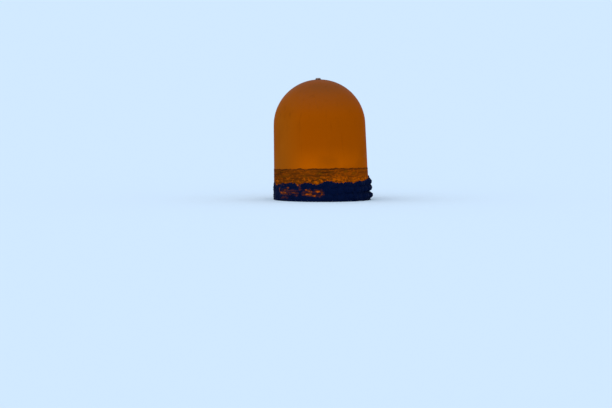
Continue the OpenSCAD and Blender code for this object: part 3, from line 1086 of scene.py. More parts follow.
@dataclass
class GrowthBelt:
    """The slime film and the crust of dried weed round the waterline.

    Angles run from +X towards +Y, so the side that faces the camera is at 270 degrees.
    """

    hull_at_waterline: float = 0.39859
    hull_draft: float = 0.02007
    seat: float = 0.0004
    columns: int = 720
    rows: int = 66

    # Foot and upper edge, the tuft on the +X side, and how far the edge rises towards -Y
    foot: float = -0.0637
    top: float = 0.148
    tuft: float = 0.040
    tuft_power: int = 60
    tilt: float = 0.010
    # Height in millimetres, number round the float, and degrees of delay, of each set of waves
    edge_waves: tuple[tuple[float, int, float], ...] = ((5.5, 7, 88), (4.5, 12, 15), (5.1, 16, 16))
    edge_teeth: Ragged = Ragged(0.010, 60.0)
    # Angle in degrees, depth, and half width in degrees, of each notch
    notches: tuple[tuple[float, float, float], ...] = (
        (239.3, 0.006, 2.6), (297.4, 0.008, 2.4), (312.6, 0.009, 3.0))

    # Thickness: the mat, its lumps, the nodules on them, and the least that is left anywhere
    thin_side: float = 0.0025
    thick_side: float = 0.006
    lump: float = 0.005
    lump_rise: float = 0.023
    lumps: LumpField = field(default_factory=lambda: LumpField(width=0.058, reach=0.58, start=0.9))
    nodule: float = 0.0030
    nodule_thin_side: float = 0.6
    nodule_level: float = 0.35
    nodules: LumpField = field(default_factory=lambda: LumpField(width=0.0165, reach=0.62, start=3.3))
    skin: float = 0.0005
    # How thick the foot is, how much the upper edge's rounding takes, and how steep both are
    foot_left: float = 0.4
    edge_cut: float = 0.9
    end_slope: float = 5.0
    # Height, half height and share of the depth that each cleft takes on the +X side
    clefts: tuple[tuple[float, float, float], ...] = ((0.060, 0.011, 0.66), (-0.004, 0.015, 0.60))
    cleft_path: Ragged = Ragged(0.006, 20.0)

    # Strokes that the sea has rubbed thin: start angle and height, end angle and height, half width
    rub_strokes: tuple[Stroke, ...] = (
        Stroke(206.0, 0.100, 207.5, 0.078, 0.005), Stroke(208.0, 0.067, 216.5, 0.069, 0.009),
        Stroke(216.5, 0.069, 225.0, 0.065, 0.008), Stroke(214.0, 0.093, 225.0, 0.110, 0.006),
        Stroke(227.0, 0.086, 236.5, 0.084, 0.004), Stroke(238.4, 0.076, 239.4, 0.058, 0.006),
        Stroke(246.0, 0.088, 247.0, 0.066, 0.005), Stroke(249.5, 0.067, 260.0, 0.060, 0.010),
        Stroke(250.5, 0.098, 258.5, 0.092, 0.008), Stroke(260.5, 0.056, 269.0, 0.051, 0.006),
        Stroke(262.5, 0.094, 268.0, 0.092, 0.007), Stroke(269.8, 0.088, 270.4, 0.052, 0.006))
    rub_past: float = 0.004
    rub_slope: float = 0.009
    rub_share: float = 0.85

    # Orange stains: start angle and height, end angle and height, half width, strength
    stains: tuple[Stroke, ...] = (
        Stroke(208.4, 0.114, 209.8, 0.082, 0.005, 0.80), Stroke(211.0, 0.082, 225.0, 0.073, 0.010, 0.86),
        Stroke(219.0, 0.094, 225.5, 0.119, 0.010, 0.72), Stroke(212.0, 0.037, 225.0, 0.037, 0.004, 0.60),
        Stroke(227.0, 0.088, 237.0, 0.078, 0.009, 0.62), Stroke(239.9, 0.149, 240.1, 0.144, 0.007, 0.95),
        Stroke(243.3, 0.134, 243.5, 0.112, 0.006, 0.76), Stroke(238.3, 0.078, 238.7, 0.055, 0.007, 0.68),
        Stroke(247.4, 0.092, 247.5, 0.056, 0.006, 0.56), Stroke(251.0, 0.098, 257.8, 0.090, 0.010, 0.92),
        Stroke(251.5, 0.066, 257.8, 0.066, 0.013, 0.80), Stroke(258.8, 0.055, 262.3, 0.054, 0.008, 1.0),
        Stroke(262.5, 0.051, 268.0, 0.050, 0.005, 0.66), Stroke(263.0, 0.089, 267.5, 0.088, 0.008, 0.98),
        Stroke(269.8, 0.092, 269.9, 0.059, 0.010, 0.70), Stroke(216.0, 0.090, 238.0, 0.078, 0.026, 0.30),
        Stroke(248.0, 0.078, 270.0, 0.070, 0.026, 0.30), Stroke(206.0, 0.146, 222.0, 0.142, 0.003, 0.34))
    stain_slope: float = 0.020
    # How the stains' edges wander, longer round the float than up it
    stain_edges: tuple[Ragged, Ragged] = (Ragged(0.010, 45.0, 1.6), Ragged(0.008, 120.0, 1.4))

    # Slime film: its lap under the crust, its thickness, and the dark rim below its upper line
    slime_lap: float = 0.004
    slime_rows: int = 40
    slime_depth: float = 0.0014
    slime_least: float = 0.0002
    slime_middle: float = 0.55
    slime_ends: float = 25.0
    slime_line: Ragged = Ragged(0.010, 14.0)
    slime_teeth: Ragged = Ragged(0.005, 60.0)
    slime_lumps: Ragged = Ragged(0.8, 30.0, 3.0)
    rim_below: float = 0.006
    rim_half: float = 0.009

    weed: tuple[Scatter, ...] = (
        Scatter("crust_knobs", density=2400.0, least=0.003, largest=0.0065, seed=11),
        Scatter("crust_grains", density=3600.0, least=0.0014, largest=0.003, seed=12))

    def hull(self, z: np.ndarray) -> np.ndarray:
        """The float's radius at a height."""
        return self.hull_at_waterline - z * self.hull_draft

    def angles(self) -> np.ndarray:
        """The angle of each column of points."""
        return np.arange(self.columns) * math.tau / self.columns

    def edge(self, angle: np.ndarray) -> np.ndarray:
        """Height of the crust's upper edge: waves, a tuft on the +X side, teeth and notches.

        Args:
            angle: Angles in radians.

        Returns:
            The heights.
        """
        turn = np.degrees(angle)
        waves = sum(size * np.sin(np.radians(count * turn - late))
                    for size, count, late in self.edge_waves)
        tuft = self.tuft * np.maximum(0.0, np.cos(angle)) ** self.tuft_power
        teeth = self.edge_teeth.at(angle, 0.0)
        for middle, depth, half in self.notches:
            teeth = teeth - depth * np.maximum(0.0, 1.0 - ((turn - middle) / half) ** 2)
        return self.top + waves * MM - self.tilt * np.sin(angle) + tuft + teeth

    def rubbed(self, angle: np.ndarray, z: np.ndarray) -> np.ndarray:
        """How far a place lies inside the rubbed strokes; less than 0 outside them."""
        return np.maximum.reduce([stroke.inside(angle, z) for stroke in self.rub_strokes])

    def stained(self, angle: np.ndarray, z: np.ndarray) -> np.ndarray:
        """How orange the crust is.

        Args:
            angle: Angles in radians.
            z: Heights.

        Returns:
            Values from 0 to 1.
        """
        wander = sum(edges.at(angle, z) for edges in self.stain_edges)
        shares = []
        for stain in self.stains:
            share = (stain.inside(angle, z) + wander) / self.stain_slope + 0.5
            shares.append(stain.strength * np.clip(share, 0.0, 1.0))
        return np.maximum.reduce(shares)

    def thickness(self, angle: np.ndarray, z: np.ndarray, share: np.ndarray) -> np.ndarray:
        """Thickness of the crust.

        Args:
            angle: Angles in radians.
            z: Heights.
            share: Share of the way from the foot to the upper edge.

        Returns:
            The thickness in metres.
        """
        side = growth_side(angle)
        above = z - self.foot
        body = self.thin_side + self.thick_side * side
        body = body + (self.lump + self.lump_rise * side) * self.lumps.height(angle, above)
        small = self.nodule_thin_side + (1.0 - self.nodule_thin_side) * side
        body = body + self.nodule * small * (self.nodules.height(angle, above) - self.nodule_level)
        rise = np.minimum(1.0, self.foot_left + self.end_slope * share)
        past = np.maximum(0.0, self.end_slope * share - (self.end_slope - 1.0))
        ends = rise * np.sqrt(1.0 - self.edge_cut * past ** 2)
        for height, half, depth in self.clefts:
            off = height + self.cleft_path.at(angle, 0.0) - z
            body = body * (1.0 - depth * side ** 3 * np.maximum(0.0, 1.0 - (off / half) ** 2))
        rubbed = np.clip((self.rubbed(angle, z) + self.rub_past) / self.rub_slope, 0.0, 1.0)
        return np.maximum(self.skin, body * ends * (1.0 - self.rub_share * rubbed))

    def skin_shape(self, angles: np.ndarray, heights: np.ndarray, depth: np.ndarray) -> Shape:
        """A closed skin on the float.

        Args:
            angles: The columns' angles.
            heights: Height of each point of the outer side, by column and row.
            depth: Thickness at each of them.

        Returns:
            The skin's points and faces.
        """
        inner = self.hull(heights) + self.seat
        outer = inner + depth
        radii = np.concatenate((outer, inner[:, -1:], inner[:, :1]), axis=1)
        levels = np.concatenate((heights, heights[:, -1:], heights[:, :1]), axis=1)
        cosines, sines = np.cos(angles)[:, None], np.sin(angles)[:, None]
        points = np.stack((radii * cosines, radii * sines, levels), axis=-1)
        # Rings are levels here, and they run round the float
        rings = [[tuple(point) for point in points[:, j]] for j in range(points.shape[1])]
        return stacked(rings, capped=False)

    def laid(self, name: str, shape: Shape, material: bpy.types.Material,
             values: dict[str, np.ndarray]) -> bpy.types.Object:
        """A skin as a piece, with values at each point, which are 0 on its hidden side.

        Args:
            name: The piece's name.
            shape: The skin.
            material: Its material.
            values: Named values at each point of the outer side, by column and row.

        Returns:
            The piece.
        """
        piece = piece_from(name, shape, material, True)
        for label, grid in values.items():
            full = np.concatenate((grid, np.zeros((len(grid), 2))), axis=1).T.ravel()
            piece.data.attributes.new(label, "FLOAT", "POINT").data.foreach_set("value", full)
        return piece

    def crust_bed(self, material: bpy.types.Material) -> bpy.types.Object:
        """The lumpy mat that lies on the float.

        Args:
            material: Its material.

        Returns:
            The mat, with values that say where it is bare and where it carries knobs.
        """
        angles = self.angles()
        share = np.linspace(0.0, 1.0, self.rows + 1)[None, :]
        heights = self.foot + share * (self.edge(angles)[:, None] - self.foot)
        depth = self.thickness(angles[:, None], heights, share)
        bare = self.stained(angles[:, None], heights)
        # Knobs keep off the strokes and the stains
        cover = np.clip(-self.rubbed(angles[:, None], heights) / self.rub_past, 0.0, 1.0)
        values = {"cover": cover * (1.0 - np.clip(bare * 2.0 - 0.4, 0.0, 1.0)), "bare": bare}
        piece = self.laid("crust_bed", self.skin_shape(angles, heights, depth), material, values)
        keep_inside(piece)
        return piece

    def slime(self, material: bpy.types.Material) -> bpy.types.Object:
        """The thin film between the crust and its ragged upper line.

        Args:
            material: Its material.

        Returns:
            The film, with a value that is 1 along its dark rim.
        """
        angles = self.angles()
        slope = GROWTH_SLOPE[0] * np.cos(angles) + GROWTH_SLOPE[1] * np.sin(angles)
        line = SLIME_LINE + slope * self.hull_at_waterline + self.slime_line.at(angles, 0.0)
        line = line + self.slime_teeth.at(angles, 1.0)
        low = self.edge(angles)[:, None] - self.slime_lap
        share = np.linspace(0.0, 1.0, self.slime_rows + 1)[None, :]
        heights = low + share * (line[:, None] - low)
        rough = self.slime_middle + self.slime_lumps.at(angles[:, None], heights)
        ends = np.minimum(1.0, np.minimum(share, 1.0 - share) * self.slime_ends)
        depth = np.maximum(self.slime_least, self.slime_depth * rough * ends)
        off_rim = np.abs(line[:, None] - heights - self.rim_below)
        rim = np.clip(1.0 - off_rim / self.rim_half, 0.0, 1.0)
        return self.laid("slime_film", self.skin_shape(angles, heights, depth), material, {"rim": rim})

    def build(self) -> None:
        """Makes the film, the mat and its knobs."""
        film = self.slime(SlimeFilm().build())
        bed = self.crust_bed(Crust().build("crust_bed", True))
        knobbly = Crust().build("crust_knobs", False)
        knobs = [scatter.grown(bed, knobbly) for scatter in self.weed]
        ride(film, Body.FLOAT, Slot.GROWTH)
        ride(bed, Body.FLOAT, Slot.GROWTH, "growth_crust")
        for piece in knobs:
            ride(piece, Body.FLOAT, Slot.GROWTH)


@dataclass(frozen=True)
class Fastener:
    """A hexagon bolt, seen from its head's side, which points to +Z from the face that it clamps."""

    size: float
    flats: float
    height: float
    washer_d: float
    washer_t: float
    shank: float
    steps: int = 48
    # Radius of the head's flat end, in widths across flats, and the washer's bevel, in thicknesses
    land: float = 0.47
    bevel: float = 0.2

    def hexagon(self, base: float, height: float, both: bool = False) -> Shape:
        """A hexagon with the corners of its upper end bevelled, or of both ends.

        Args:
            base: Height of its lower end.
            height: Its own height.
            both: Whether both ends are bevelled.

        Returns:
            Its points and faces.
        """
        land, top = self.flats * self.land, base + height

        def corner(angle: float) -> float:
            """Radius of the hexagon at an angle."""
            return self.flats / 2 / math.cos((angle % (math.pi / 3)) - math.pi / 6)

        def drop(angle: float) -> float:
            """How far the bevel has cut down there."""
            return (corner(angle) - land) * math.tan(math.pi / 6)

        foot = (lambda angle: base + drop(angle)) if both else base
        return stacked([flat_ring(land, base, self.steps), flat_ring(corner, foot, self.steps),
                        flat_ring(corner, lambda angle: top - drop(angle), self.steps),
                        flat_ring(land, top, self.steps)])

    def washer(self) -> Shape:
        """A washer on the face that the bolt clamps.

        Returns:
            Its points and faces.
        """
        bevel = self.washer_t * self.bevel
        inner, outer = self.size / 2, self.washer_d / 2
        return lathe([(inner, 0.0), (outer - bevel, 0.0), (outer, bevel), (outer, self.washer_t - bevel),
                      (outer - bevel, self.washer_t), (inner, self.washer_t)], self.steps)

    def head_side(self) -> Shape:
        """The washer, the head and the shank below them."""
        shank = lathe([(self.size / 2, -self.shank), (self.size / 2, self.washer_t / 2)], self.steps)
        return joined(self.washer(), self.hexagon(self.washer_t, self.height), shank)


def thread(core: float, crest: float, pitch: float, length: float, steps: int = 56,
           level: Optional[Callable[[float, float], float]] = None) -> Shape:
    """A screw thread round Z from height 0 to length, with bevelled ends.

    Args:
        core: Radius at the thread's root.
        crest: Radius at its crest.
        pitch: Height of one turn.
        length: Its whole length.
        steps: Number of steps round the axis.
        level: Share of the thread's depth that is left at an angle and a height.

    Returns:
        Its points and faces.
    """
    rows_a_turn, gain_a_turn = 10, 1.4
    crest_height, flank_slope = 1.25, 3.1
    point = core - 2 * (crest - core)
    rings = [flat_ring(point, 0.0, steps)]
    rows = math.ceil(length / pitch * rows_a_turn)
    for j in range(rows + 1):
        z = length * j / rows
        fade = min(1.0, min(z, length - z) / pitch * gain_a_turn)

        def radius(angle: float) -> float:
            """Radius of the thread's flank on this ring.

            Args:
                angle: The angle round the axis.

            Returns:
                The radius.
            """
            phase = (z / pitch - angle / math.tau) % 1.0
            depth = min(1.0, max(0.0, crest_height - abs(phase - 0.5) * flank_slope))
            left = level(angle, z) if level else 1.0
            return core + (crest - core) * depth * fade * left

        rings.append(flat_ring(radius, z, steps))
    rings.append(flat_ring(point, length, steps))
    return stacked(rings)


def bolt_circle(name: str, bolt: Fastener, material: bpy.types.Material, count: int, radius: float,
                height: float, seed: int) -> bpy.types.Object:
    """Bolts on a circle with their heads down, set out by a geometry tree, each turned by chance.

    Args:
        name: The piece's name.
        bolt: One bolt.
        material: Its material.
        count: Number of bolts.
        radius: Radius of the circle.
        height: Height of the faces that they clamp.
        seed: Seed of their turns.

    Returns:
        The bolts as one mesh.
    """
    tree = Recipe(name, material, Count=count, Radius=radius, Height=height, First=math.pi / count)
    size = {"Vertices": tree.given("Count"), "Radius": tree.given("Radius")}
    circle = tree.add("GeometryNodeMeshCircle", {}, size).out()
    place = {"Geometry": circle, "Translation": tree.upright(tree.given("Height")),
             "Rotation": tree.upright(tree.given("First"))}
    set_out = tree.add("GeometryNodeTransform", {}, place).out()
    spin = tree.upright(tree.chance(0.0, math.tau, seed))
    bolts = tree.instances(set_out, Instance=tree.given("Geometry"), Rotation=spin)
    heads_down = moved(bolt.head_side(), Matrix.Rotation(math.pi, 4, "X"))
    return tree.grow(piece_from(name, heads_down, material), bolts)


def weld(name: str, paths: Sequence[tuple[Sequence[Point], bool]], material: bpy.types.Material,
         size: float) -> bpy.types.Object:
    """Weld beads along corners: overlapping ripples, set out by a geometry tree.

    Args:
        name: The piece's name.
        paths: Points along each corner, and whether they close into a ring.
        material: Their material.
        size: Radius of the bead.

    Returns:
        The beads as one mesh.
    """
    # Distance between ripples in bead radii, and the limits of their length, width and height
    step, least, largest = 0.62, (0.62, 0.88, 0.88), (0.72, 1.08, 1.08)
    points: list[Point] = []
    edges: list[tuple[int, int]] = []
    for path, closed in paths:
        start, count = len(points), len(path)
        points += [tuple(point) for point in path]
        edges += [(start + i, start + (i + 1) % count) for i in range(count if closed else count - 1)]
    piece = piece_from(name, ([], []), material)
    piece.data.from_pydata(points, edges, [])
    tree = Recipe(name, material, Size=size, Step=size * step)
    curve = tree.add("GeometryNodeMeshToCurve", {}, {"Mesh": tree.given("Geometry")}).out()
    line = tree.add("GeometryNodeResampleCurve", {"mode": "LENGTH"},
                    {"Curve": curve, "Length": tree.given("Step")}).out()
    along = tree.add("GeometryNodeInputTangent", {}, {}).out()
    facing = tree.add("FunctionNodeAlignRotationToVector", {"axis": "X"}, {"Vector": along}).out()
    sizes = tree.scaled(tree.chance(least, largest, seed=4), tree.given("Size"))
    ripples = tree.instances(line, Instance=tree.ball(), Rotation=facing, Scale=sizes)
    return tree.grow(piece, ripples, smooth=True)


@dataclass
class Tail:
    """The galvanised tail: base plate, tube, gussets, end plate, their bolts and welds."""

    plate_bottom: float = -0.437
    plate_bolt_circle: float = 0.140
    plate_bolts: int = 8
    tube_r: float = 0.05715
    tube_end: float = -1.157
    gusset_half: float = 0.005
    gusset_reach: float = 0.158
    gusset_bottom: float = -0.607
    cope: float = 0.011
    eye: tuple[float, float] = (0.113575, -0.476)
    weld_r: float = 0.0042
    # How far a bead's middle stands off the faces, in bead radii
    weld_off: float = 0.3
    # How far the beads stop short of the gusset's outer edge, and of its lower end
    short_out: float = 0.004
    short_down: float = 0.003
    ring_points: int = 96
    plate_bolt: Fastener = Fastener(size=0.020, flats=0.030, height=0.0125, washer_d=0.037,
                                    washer_t=0.003, shank=0.020)

    @property
    def bead(self) -> float:
        """Distance of a bead's middle from the faces that it joins."""
        return self.weld_r * self.weld_off

    def stained(self, paint: Paint) -> Wire:
        """Where rust runs: round the tube's two ends and below the lifting eyes.

        Args:
            paint: The material.

        Returns:
            The strength of the rust, from 0 to 1.
        """
        near_tube = paint.radius().step(self.tube_r + 0.014, self.tube_r + 0.002)
        top = abs(paint.z - self.plate_bottom).step(0.020, 0.0)
        foot = abs(paint.z - self.tube_end).step(0.024, 0.0)
        out = abs(paint.radius() - self.eye[0])
        run = out.step(0.014, 0.004) * (paint.z - self.eye[1]).step(0.006, -0.004)
        return (near_tube * top).largest(near_tube * foot).largest(run * 0.6)

    def worn(self, paint: Paint) -> Wire:
        """Where shackles have rubbed the lifting eyes bright."""
        out, up = paint.radius() - self.eye[0], paint.z - self.eye[1]
        return ((out * out + up * up) ** 0.5).step(0.019, 0.0135)

    def gusset_welds(self) -> list[tuple[Sequence[Point], bool]]:
        """The corners on both sides of each gusset, along the plate and down the tube.

        Returns:
            The points along each corner, and that they don't close into a ring.
        """
        paths = []
        out, low = self.tube_r + self.bead, self.plate_bottom - self.bead
        along = (self.tube_r + self.cope, self.gusset_reach - self.short_out)
        down = (self.plate_bottom - self.cope, self.gusset_bottom + self.short_down)
        for quarter in range(4):
            turn = Matrix.Rotation(quarter * math.pi / 2, 3, "Z")
            for y in (-self.gusset_half - self.bead, self.gusset_half + self.bead):
                plate = [(x, y, low) for x in along]
                tube = [(out, y, z) for z in down]
                paths += [([turn @ Vector(p) for p in path], False) for path in (plate, tube)]
        return paths

    def build(self) -> None:
        """Dresses the nodes and adds bolts and welds."""
        zinc = Metal(Slot.GALVANISED.value, rgb(154, 157, 159), rgb(117, 121, 123), rusted=0.26,
                     filmed=0.5, spangle=0.5, stained=self.stained, worn=self.worn)
        dress(zinc.build(), "base_plate", "tail_tube", "end_plate", *numbered("gusset_"))
        screws = Metal("bolt_zinc", rgb(145, 146, 146), rgb(104, 106, 106), rusted=0.5, filmed=0.35)
        bolts = bolt_circle("plate_bolts", self.plate_bolt, screws.build(), self.plate_bolts,
                            self.plate_bolt_circle, self.plate_bottom, seed=21)
        ride(bolts, Body.FLOAT, Slot.GALVANISED)
        beads = Metal("weld_metal", rgb(135, 135, 134), rgb(101, 99, 95), rusted=0.62, shine=0.4)
        ring = flat_ring(self.tube_r + self.bead, self.plate_bottom - self.bead, self.ring_points)
        welds = weld("tail_welds", [(ring, True), *self.gusset_welds()], beads.build(), self.weld_r)
        ride(welds, Body.FLOAT, Slot.GALVANISED)


@dataclass
class Ballast:
    """The cast-iron rings, and the clamp collar with its bolt."""

    collar_z: float = -0.961
    ear_x: float = 0.09515
    ear_face: float = 0.017
    clamp_bolt: Fastener = Fastener(size=0.012, flats=0.018, height=0.0075, washer_d=0.024,
                                    washer_t=0.0025, shank=0.055)
    nut_height: float = 0.010
    # How far the nut is turned against the head, in radians
    nut_turn: float = 0.4
    thread_out: float = 0.009
    thread_sunk: float = 0.001
    # Radius of the thread's root as a share of its crest's
    thread_root: float = 0.84
    pitch: float = 0.00175

    def stained(self, paint: Paint) -> Wire:
        """Scale that has burst along the rings' rims."""
        return paint.radius().step(0.140, 0.149)

    def build(self) -> None:
        """Dresses the rings and the collar, and adds the clamp bolt."""
        iron = Metal(Slot.IRON.value, rgb(79, 63, 52), rgb(55, 42, 37), rusted=0.85, filmed=0.25,
                     shine=0.15, grain=60.0, stained=self.stained)
        dress(iron.build(), *numbered("ballast_ring_"))
        zinc = Metal("collar_zinc", rgb(143, 146, 148), rgb(108, 112, 114), rusted=0.42, spangle=0.4)
        dress(zinc.build(), "clamp_collar")
        steel = Metal("clamp_steel", rgb(135, 135, 135), rgb(97, 97, 95), rusted=0.55, filmed=0.3)
        bolt = piece_from("clamp_bolt", self.clamp_bolt_shape(), steel.build())
        ride(bolt, Body.FLOAT, Slot.GALVANISED)

    def clamp_bolt_shape(self) -> Shape:
        """The bolt through the collar's ears, with its head towards -Y and its nut towards +Y.

        Returns:
            Its points and faces.
        """
        bolt, crest = self.clamp_bolt, self.clamp_bolt.size / 2
        head = Matrix.Translation((self.ear_x, -self.ear_face, self.collar_z))
        head = head @ Matrix.Rotation(math.pi / 2, 4, "X")
        back = Matrix.Translation((self.ear_x, self.ear_face, self.collar_z))
        back = back @ Matrix.Rotation(-math.pi / 2, 4, "X") @ Matrix.Rotation(self.nut_turn, 4, "Z")
        nut = joined(bolt.washer(), bolt.hexagon(bolt.washer_t, self.nut_height, True))
        end = thread(crest * self.thread_root, crest, self.pitch, self.thread_out, steps=32)
        start = bolt.washer_t + self.nut_height - self.thread_sunk
        end = moved(end, Matrix.Translation((0.0, 0.0, start)))
        return joined(moved(bolt.head_side(), head), moved(joined(nut, end), back))


@dataclass
class Swivel:
    """The swivel housing with its flange bolts, and the swivel eye."""

    flange_bottom: float = -1.187
    bolt_circle_r: float = 0.064
    bolts: int = 6
    eye_z: float = -1.299
    bore_r: float = 0.0145
    bolt: Fastener = Fastener(size=0.012, flats=0.018, height=0.0075, washer_d=0.024,
                              washer_t=0.0025, shank=0.012)

    def worn(self, paint: Paint) -> Wire:
        """Where the pin and the shackle's ears have rubbed the eye bright, round its bore."""
        up = paint.z - self.eye_z
        return ((paint.x * paint.x + up * up) ** 0.5).step(self.bore_r + 0.012, self.bore_r + 0.002)

    def build(self) -> None:
        """Dresses the housing and the eye, and adds the flange bolts."""
        zinc = Metal("housing_zinc", rgb(141, 145, 146), rgb(104, 108, 110), rusted=0.36, spangle=0.4)
        dress(zinc.build(), "swivel_housing")
        screws = Metal("flange_screws", rgb(143, 145, 145), rgb(101, 103, 103), rusted=0.5, filmed=0.3)
        bolts = bolt_circle("flange_bolts", self.bolt, screws.build(), self.bolts, self.bolt_circle_r,
                            self.flange_bottom, seed=22)
        ride(bolts, Body.FLOAT, Slot.GALVANISED)
        eye = Metal("eye_steel", rgb(134, 135, 137), rgb(95, 95, 95), rusted=0.5, filmed=0.22, shine=0.55,
                    spangle=0.2, worn=self.worn)
        dress(eye.build(), "swivel_eye")


@dataclass(frozen=True)
class Cotter:
    """A split pin: a loop above, two legs through the hole, bent apart below.

    Its sizes lie across the shackle pin, with that pin's axis at height 0.
    """

    wire_r: float = 0.00135
    # Distance of each leg from the middle, in wire radii
    apart: float = 1.02
    loop_r: float = 0.0048
    loop_z: float = 0.0205
    neck_z: float = 0.0148
    mouth_z: float = 0.010
    below: float = 0.0010
    bend_r: float = 0.0031
    bend_x: float = 0.0045
    spread: float = 0.0125
    lift: float = 0.0048

    def shape(self, pin_r: float, y: float, z: float) -> Shape:
        """The cotter in its place.

        Args:
            pin_r: Radius of the shackle pin.
            y: The cotter's place along the pin.
            z: Height of the pin's axis.

        Returns:
            Its points and faces.
        """
        legs, low = [], -pin_r - self.below
        loop = [(self.loop_r * math.sin(a), self.loop_z + self.loop_r * math.cos(a))
                for a in (math.pi * k / 10 for k in range(8))]
        straight = [(self.wire_r * self.apart, up) for up in (self.neck_z, self.mouth_z, 0.0, low)]
        bend = [(self.bend_x - self.bend_r * math.cos(a), low - self.bend_r * math.sin(a))
                for a in (math.pi / 2 * k / 5 for k in range(1, 6))]
        curl = [(self.bend_x + self.spread * t, low - self.bend_r + self.lift * t * t)
                for t in (0.35, 0.7, 1.0)]
        for side in (-1.0, 1.0):
            path = [(side * x, y, z + up) for x, up in loop + straight + bend + curl]
            legs.append(swept(path, self.wire_r))
        return joined(*legs)


@dataclass
class Shackle:
    """The bow shackle, its pin with its thread and cotter, and its nut."""

    eye_z: float = -1.299
    bow_seat: float = -1.409
    nut_face: float = 0.0711
    pin_r: float = 0.014
    thread_h: float = 0.0016
    pin_end: float = 0.017
    pitch: float = 0.003
    cotter_y: float = 0.0804
    # Gap between nut and thread, how far its root stands off the solid pin, and how far it stops short
    thread_gap: float = 0.0004
    root_off: float = 0.00008
    thread_short: float = 0.001
    # Radius round the cotter's hole where the thread is plain, and the width of its run-out
    plain_r: float = 0.0034
    runout: float = 0.0012

    def worn(self, paint: Paint) -> Wire:
        """Where the chain has rubbed the bow bright."""
        return paint.distance((0.0, 0.0, self.bow_seat)).step(0.034, 0.016)

    def pin_thread(self) -> Shape:
        """The thread between the nut and the pin's end, plain round the cotter's hole.

        Returns:
            Its points and faces, in their place.
        """
        start = self.nut_face + self.thread_gap
        hole = self.cotter_y - start

        def left(angle: float, z: float) -> float:
            """Share of the thread's depth that the hole's mouth leaves."""
            off = math.hypot(abs(math.cos(angle)) * self.pin_r, z - hole) - self.plain_r
            return min(1.0, max(0.0, off / self.runout))

        core = self.pin_r - self.thread_h + self.root_off
        shape = thread(core, self.pin_r, self.pitch, self.pin_end - self.thread_short, 64, left)
        place = Matrix.Translation((0.0, start, self.eye_z)) @ Matrix.Rotation(-math.pi / 2, 4, "X")
        return moved(shape, place)

    def build(self) -> None:
        """Dresses the shackle and adds its thread and cotter."""
        forged = Metal("bow_steel", rgb(135, 137, 139), rgb(97, 97, 97), rusted=0.5, filmed=0.25,
                       shine=0.55, spangle=0.2, worn=self.worn)
        dress(forged.build(), "shackle_bow")
        steel = Metal("pin_steel", rgb(132, 132, 132), rgb(92, 90, 88), rusted=0.58, filmed=0.18).build()
        dress(steel, "shackle_pin", "shackle_nut")
        ride(piece_from("pin_thread", self.pin_thread(), steel, True), Body.SHACKLE, Slot.FORGED)
        wire = Metal("cotter_steel", rgb(155, 155, 154), rgb(119, 117, 114), rusted=0.35, filmed=0.1,
                     shine=0.6)
        cotter = Cotter().shape(self.pin_r, self.cotter_y, self.eye_z)
        ride(piece_from("cotter_pin", cotter, wire.build(), True), Body.SHACKLE, Slot.FORGED)


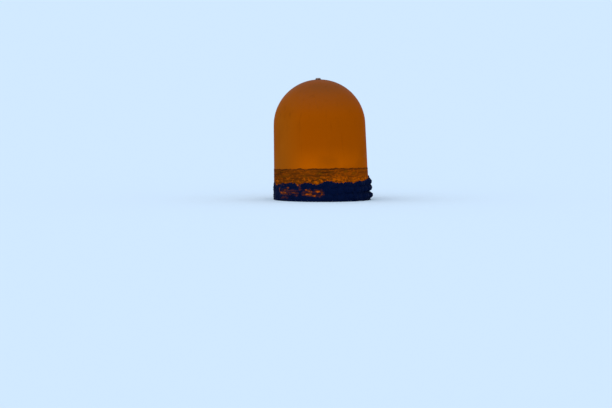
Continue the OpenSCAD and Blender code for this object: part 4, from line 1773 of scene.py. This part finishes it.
@dataclass
class Studio:
    """Floor, light and camera. The picture is 612 by 408 pixels."""

    # The picture's size in pixels, the size of one in metres, and where the waterline's centre lies
    picture_w: float = 612.0
    picture_h: float = 408.0
    pixel: float = 0.00842
    waterline_x: float = 321.7
    waterline_y: float = 199.5
    lean: float = math.radians(1.7)
    elevation: float = math.radians(3.0)
    distance: float = 49.5
    sensor: float = 36.0
    clip: tuple[float, float] = (1.0, 2000.0)
    floor_half: float = 400.0
    pale: Colour = rgb(201, 214, 223)
    sky: Colour = rgb(224, 236, 252)
    daylight: float = 1.27
    backdrop: float = 0.95
    # Name, direction, height, strength and width of each lamp
    lamps: tuple[tuple[str, float, float, float, float], ...] = (
        ("sun_left", -70.0, 48.0, 0.34, 60.0), ("sun_front", -8.0, 22.0, 0.60, 80.0))

    def axes(self) -> tuple[Vector, Vector, Vector]:
        """The picture's directions in the frame.

        Returns:
            Its right, its up, and the way back to the camera.
        """
        level = Vector((1.0, 0.0, 0.0))
        rise = Vector((0.0, math.sin(self.elevation), math.cos(self.elevation)))
        right = level * math.cos(self.lean) - rise * math.sin(self.lean)
        up = rise * math.cos(self.lean) + level * math.sin(self.lean)
        return right, up, right.cross(up)

    def camera(self) -> None:
        """A long lens, low over the floor, rolled by the buoy's lean."""
        data = bpy.data.cameras.new("camera")
        data.sensor_width = self.sensor
        data.lens = self.sensor * self.distance / (self.picture_w * self.pixel)
        data.clip_start, data.clip_end = self.clip
        camera = in_scene("camera", data)
        right, up, back = self.axes()
        aim = right * (self.picture_w / 2 - self.waterline_x) * self.pixel
        aim += up * (self.waterline_y - self.picture_h / 2) * self.pixel
        turn = Matrix((right, up, back)).transposed().to_4x4()
        camera.matrix_world = Matrix.Translation(aim + back * self.distance) @ turn
        bpy.context.scene.camera = camera

    def floor(self) -> None:
        """A plain pale floor at the waterline, level in the picture and clear from below."""
        paint = Paint("stage_floor")
        matt = paint.add("ShaderNodeBsdfDiffuse", {}, {"Color": self.pale}).out()
        clear = paint.add("ShaderNodeBsdfTransparent", {}, {}).out()
        below = paint.add("ShaderNodeNewGeometry", {}, {}).out("Backfacing")
        both = paint.add("ShaderNodeMixShader", {}, {0: below, 1: matt, 2: clear}).out()
        paint.add("ShaderNodeOutputMaterial", {}, {"Surface": both})
        right, up, back = self.axes()
        upright = up * math.cos(self.elevation) + back * math.sin(self.elevation)
        away = right.cross(upright) * -self.floor_half
        aside = right * self.floor_half
        corners = [away * j + aside * i for i, j in ((-1, -1), (1, -1), (1, 1), (-1, 1))]
        piece_from("floor", (corners, [(0, 1, 2, 3)]), paint.material)

    def world(self) -> None:
        """An even sky, which the camera, gloss and glass see at the backdrop's strength."""
        world = bpy.data.worlds.new("sky")
        world.use_nodes = True
        world.node_tree.nodes.clear()
        tree = Tree(world.node_tree)
        rays = tree.add("ShaderNodeLightPath", {}, {})
        seen = rays.out("Is Camera Ray").largest(rays.out("Is Glossy Ray"))
        seen = seen.largest(rays.out("Is Transmission Ray"))
        strength = seen * (self.backdrop - self.daylight) + self.daylight
        light = tree.add("ShaderNodeBackground", {}, {"Color": self.sky, "Strength": strength}).out()
        tree.add("ShaderNodeOutputWorld", {}, {"Surface": light})
        bpy.context.scene.world = world

    def sun(self, name: str, azimuth: float, height: float, strength: float, width: float) -> None:
        """A soft far lamp.

        Args:
            name: The lamp's name.
            azimuth: Where it stands, in degrees: 0 is behind the camera, 90 on the right.
            height: Its angle above the floor, in degrees.
            strength: Its strength.
            width: Its width, in degrees.
        """
        data = bpy.data.lights.new(name, "SUN")
        data.energy, data.angle = strength, math.radians(width)
        lamp = in_scene(name, data)
        a, e = math.radians(azimuth), math.radians(height)
        towards = Vector((math.sin(a) * math.cos(e), -math.cos(a) * math.cos(e), math.sin(e)))
        lamp.rotation_mode = "QUATERNION"
        lamp.rotation_quaternion = towards.to_track_quat("Z", "Y")

    def build(self) -> None:
        """Makes the whole stage."""
        self.camera()
        self.floor()
        self.world()
        for lamp in self.lamps:
            self.sun(*lamp)
        bpy.context.scene.view_settings.view_transform = "Standard"


def main() -> None:
    """Builds each sub-assembly in order."""
    logging.basicConfig(level=logging.INFO, format="%(name)s: %(message)s")
    parts: Sequence[Any] = (Studio(), Float(), GrowthBelt(), Tail(), Ballast(), Swivel(), Shackle())
    for part in parts:
        LOG.info("building %s", type(part).__name__)
        part.build()


if __name__ == "__main__":
    main()
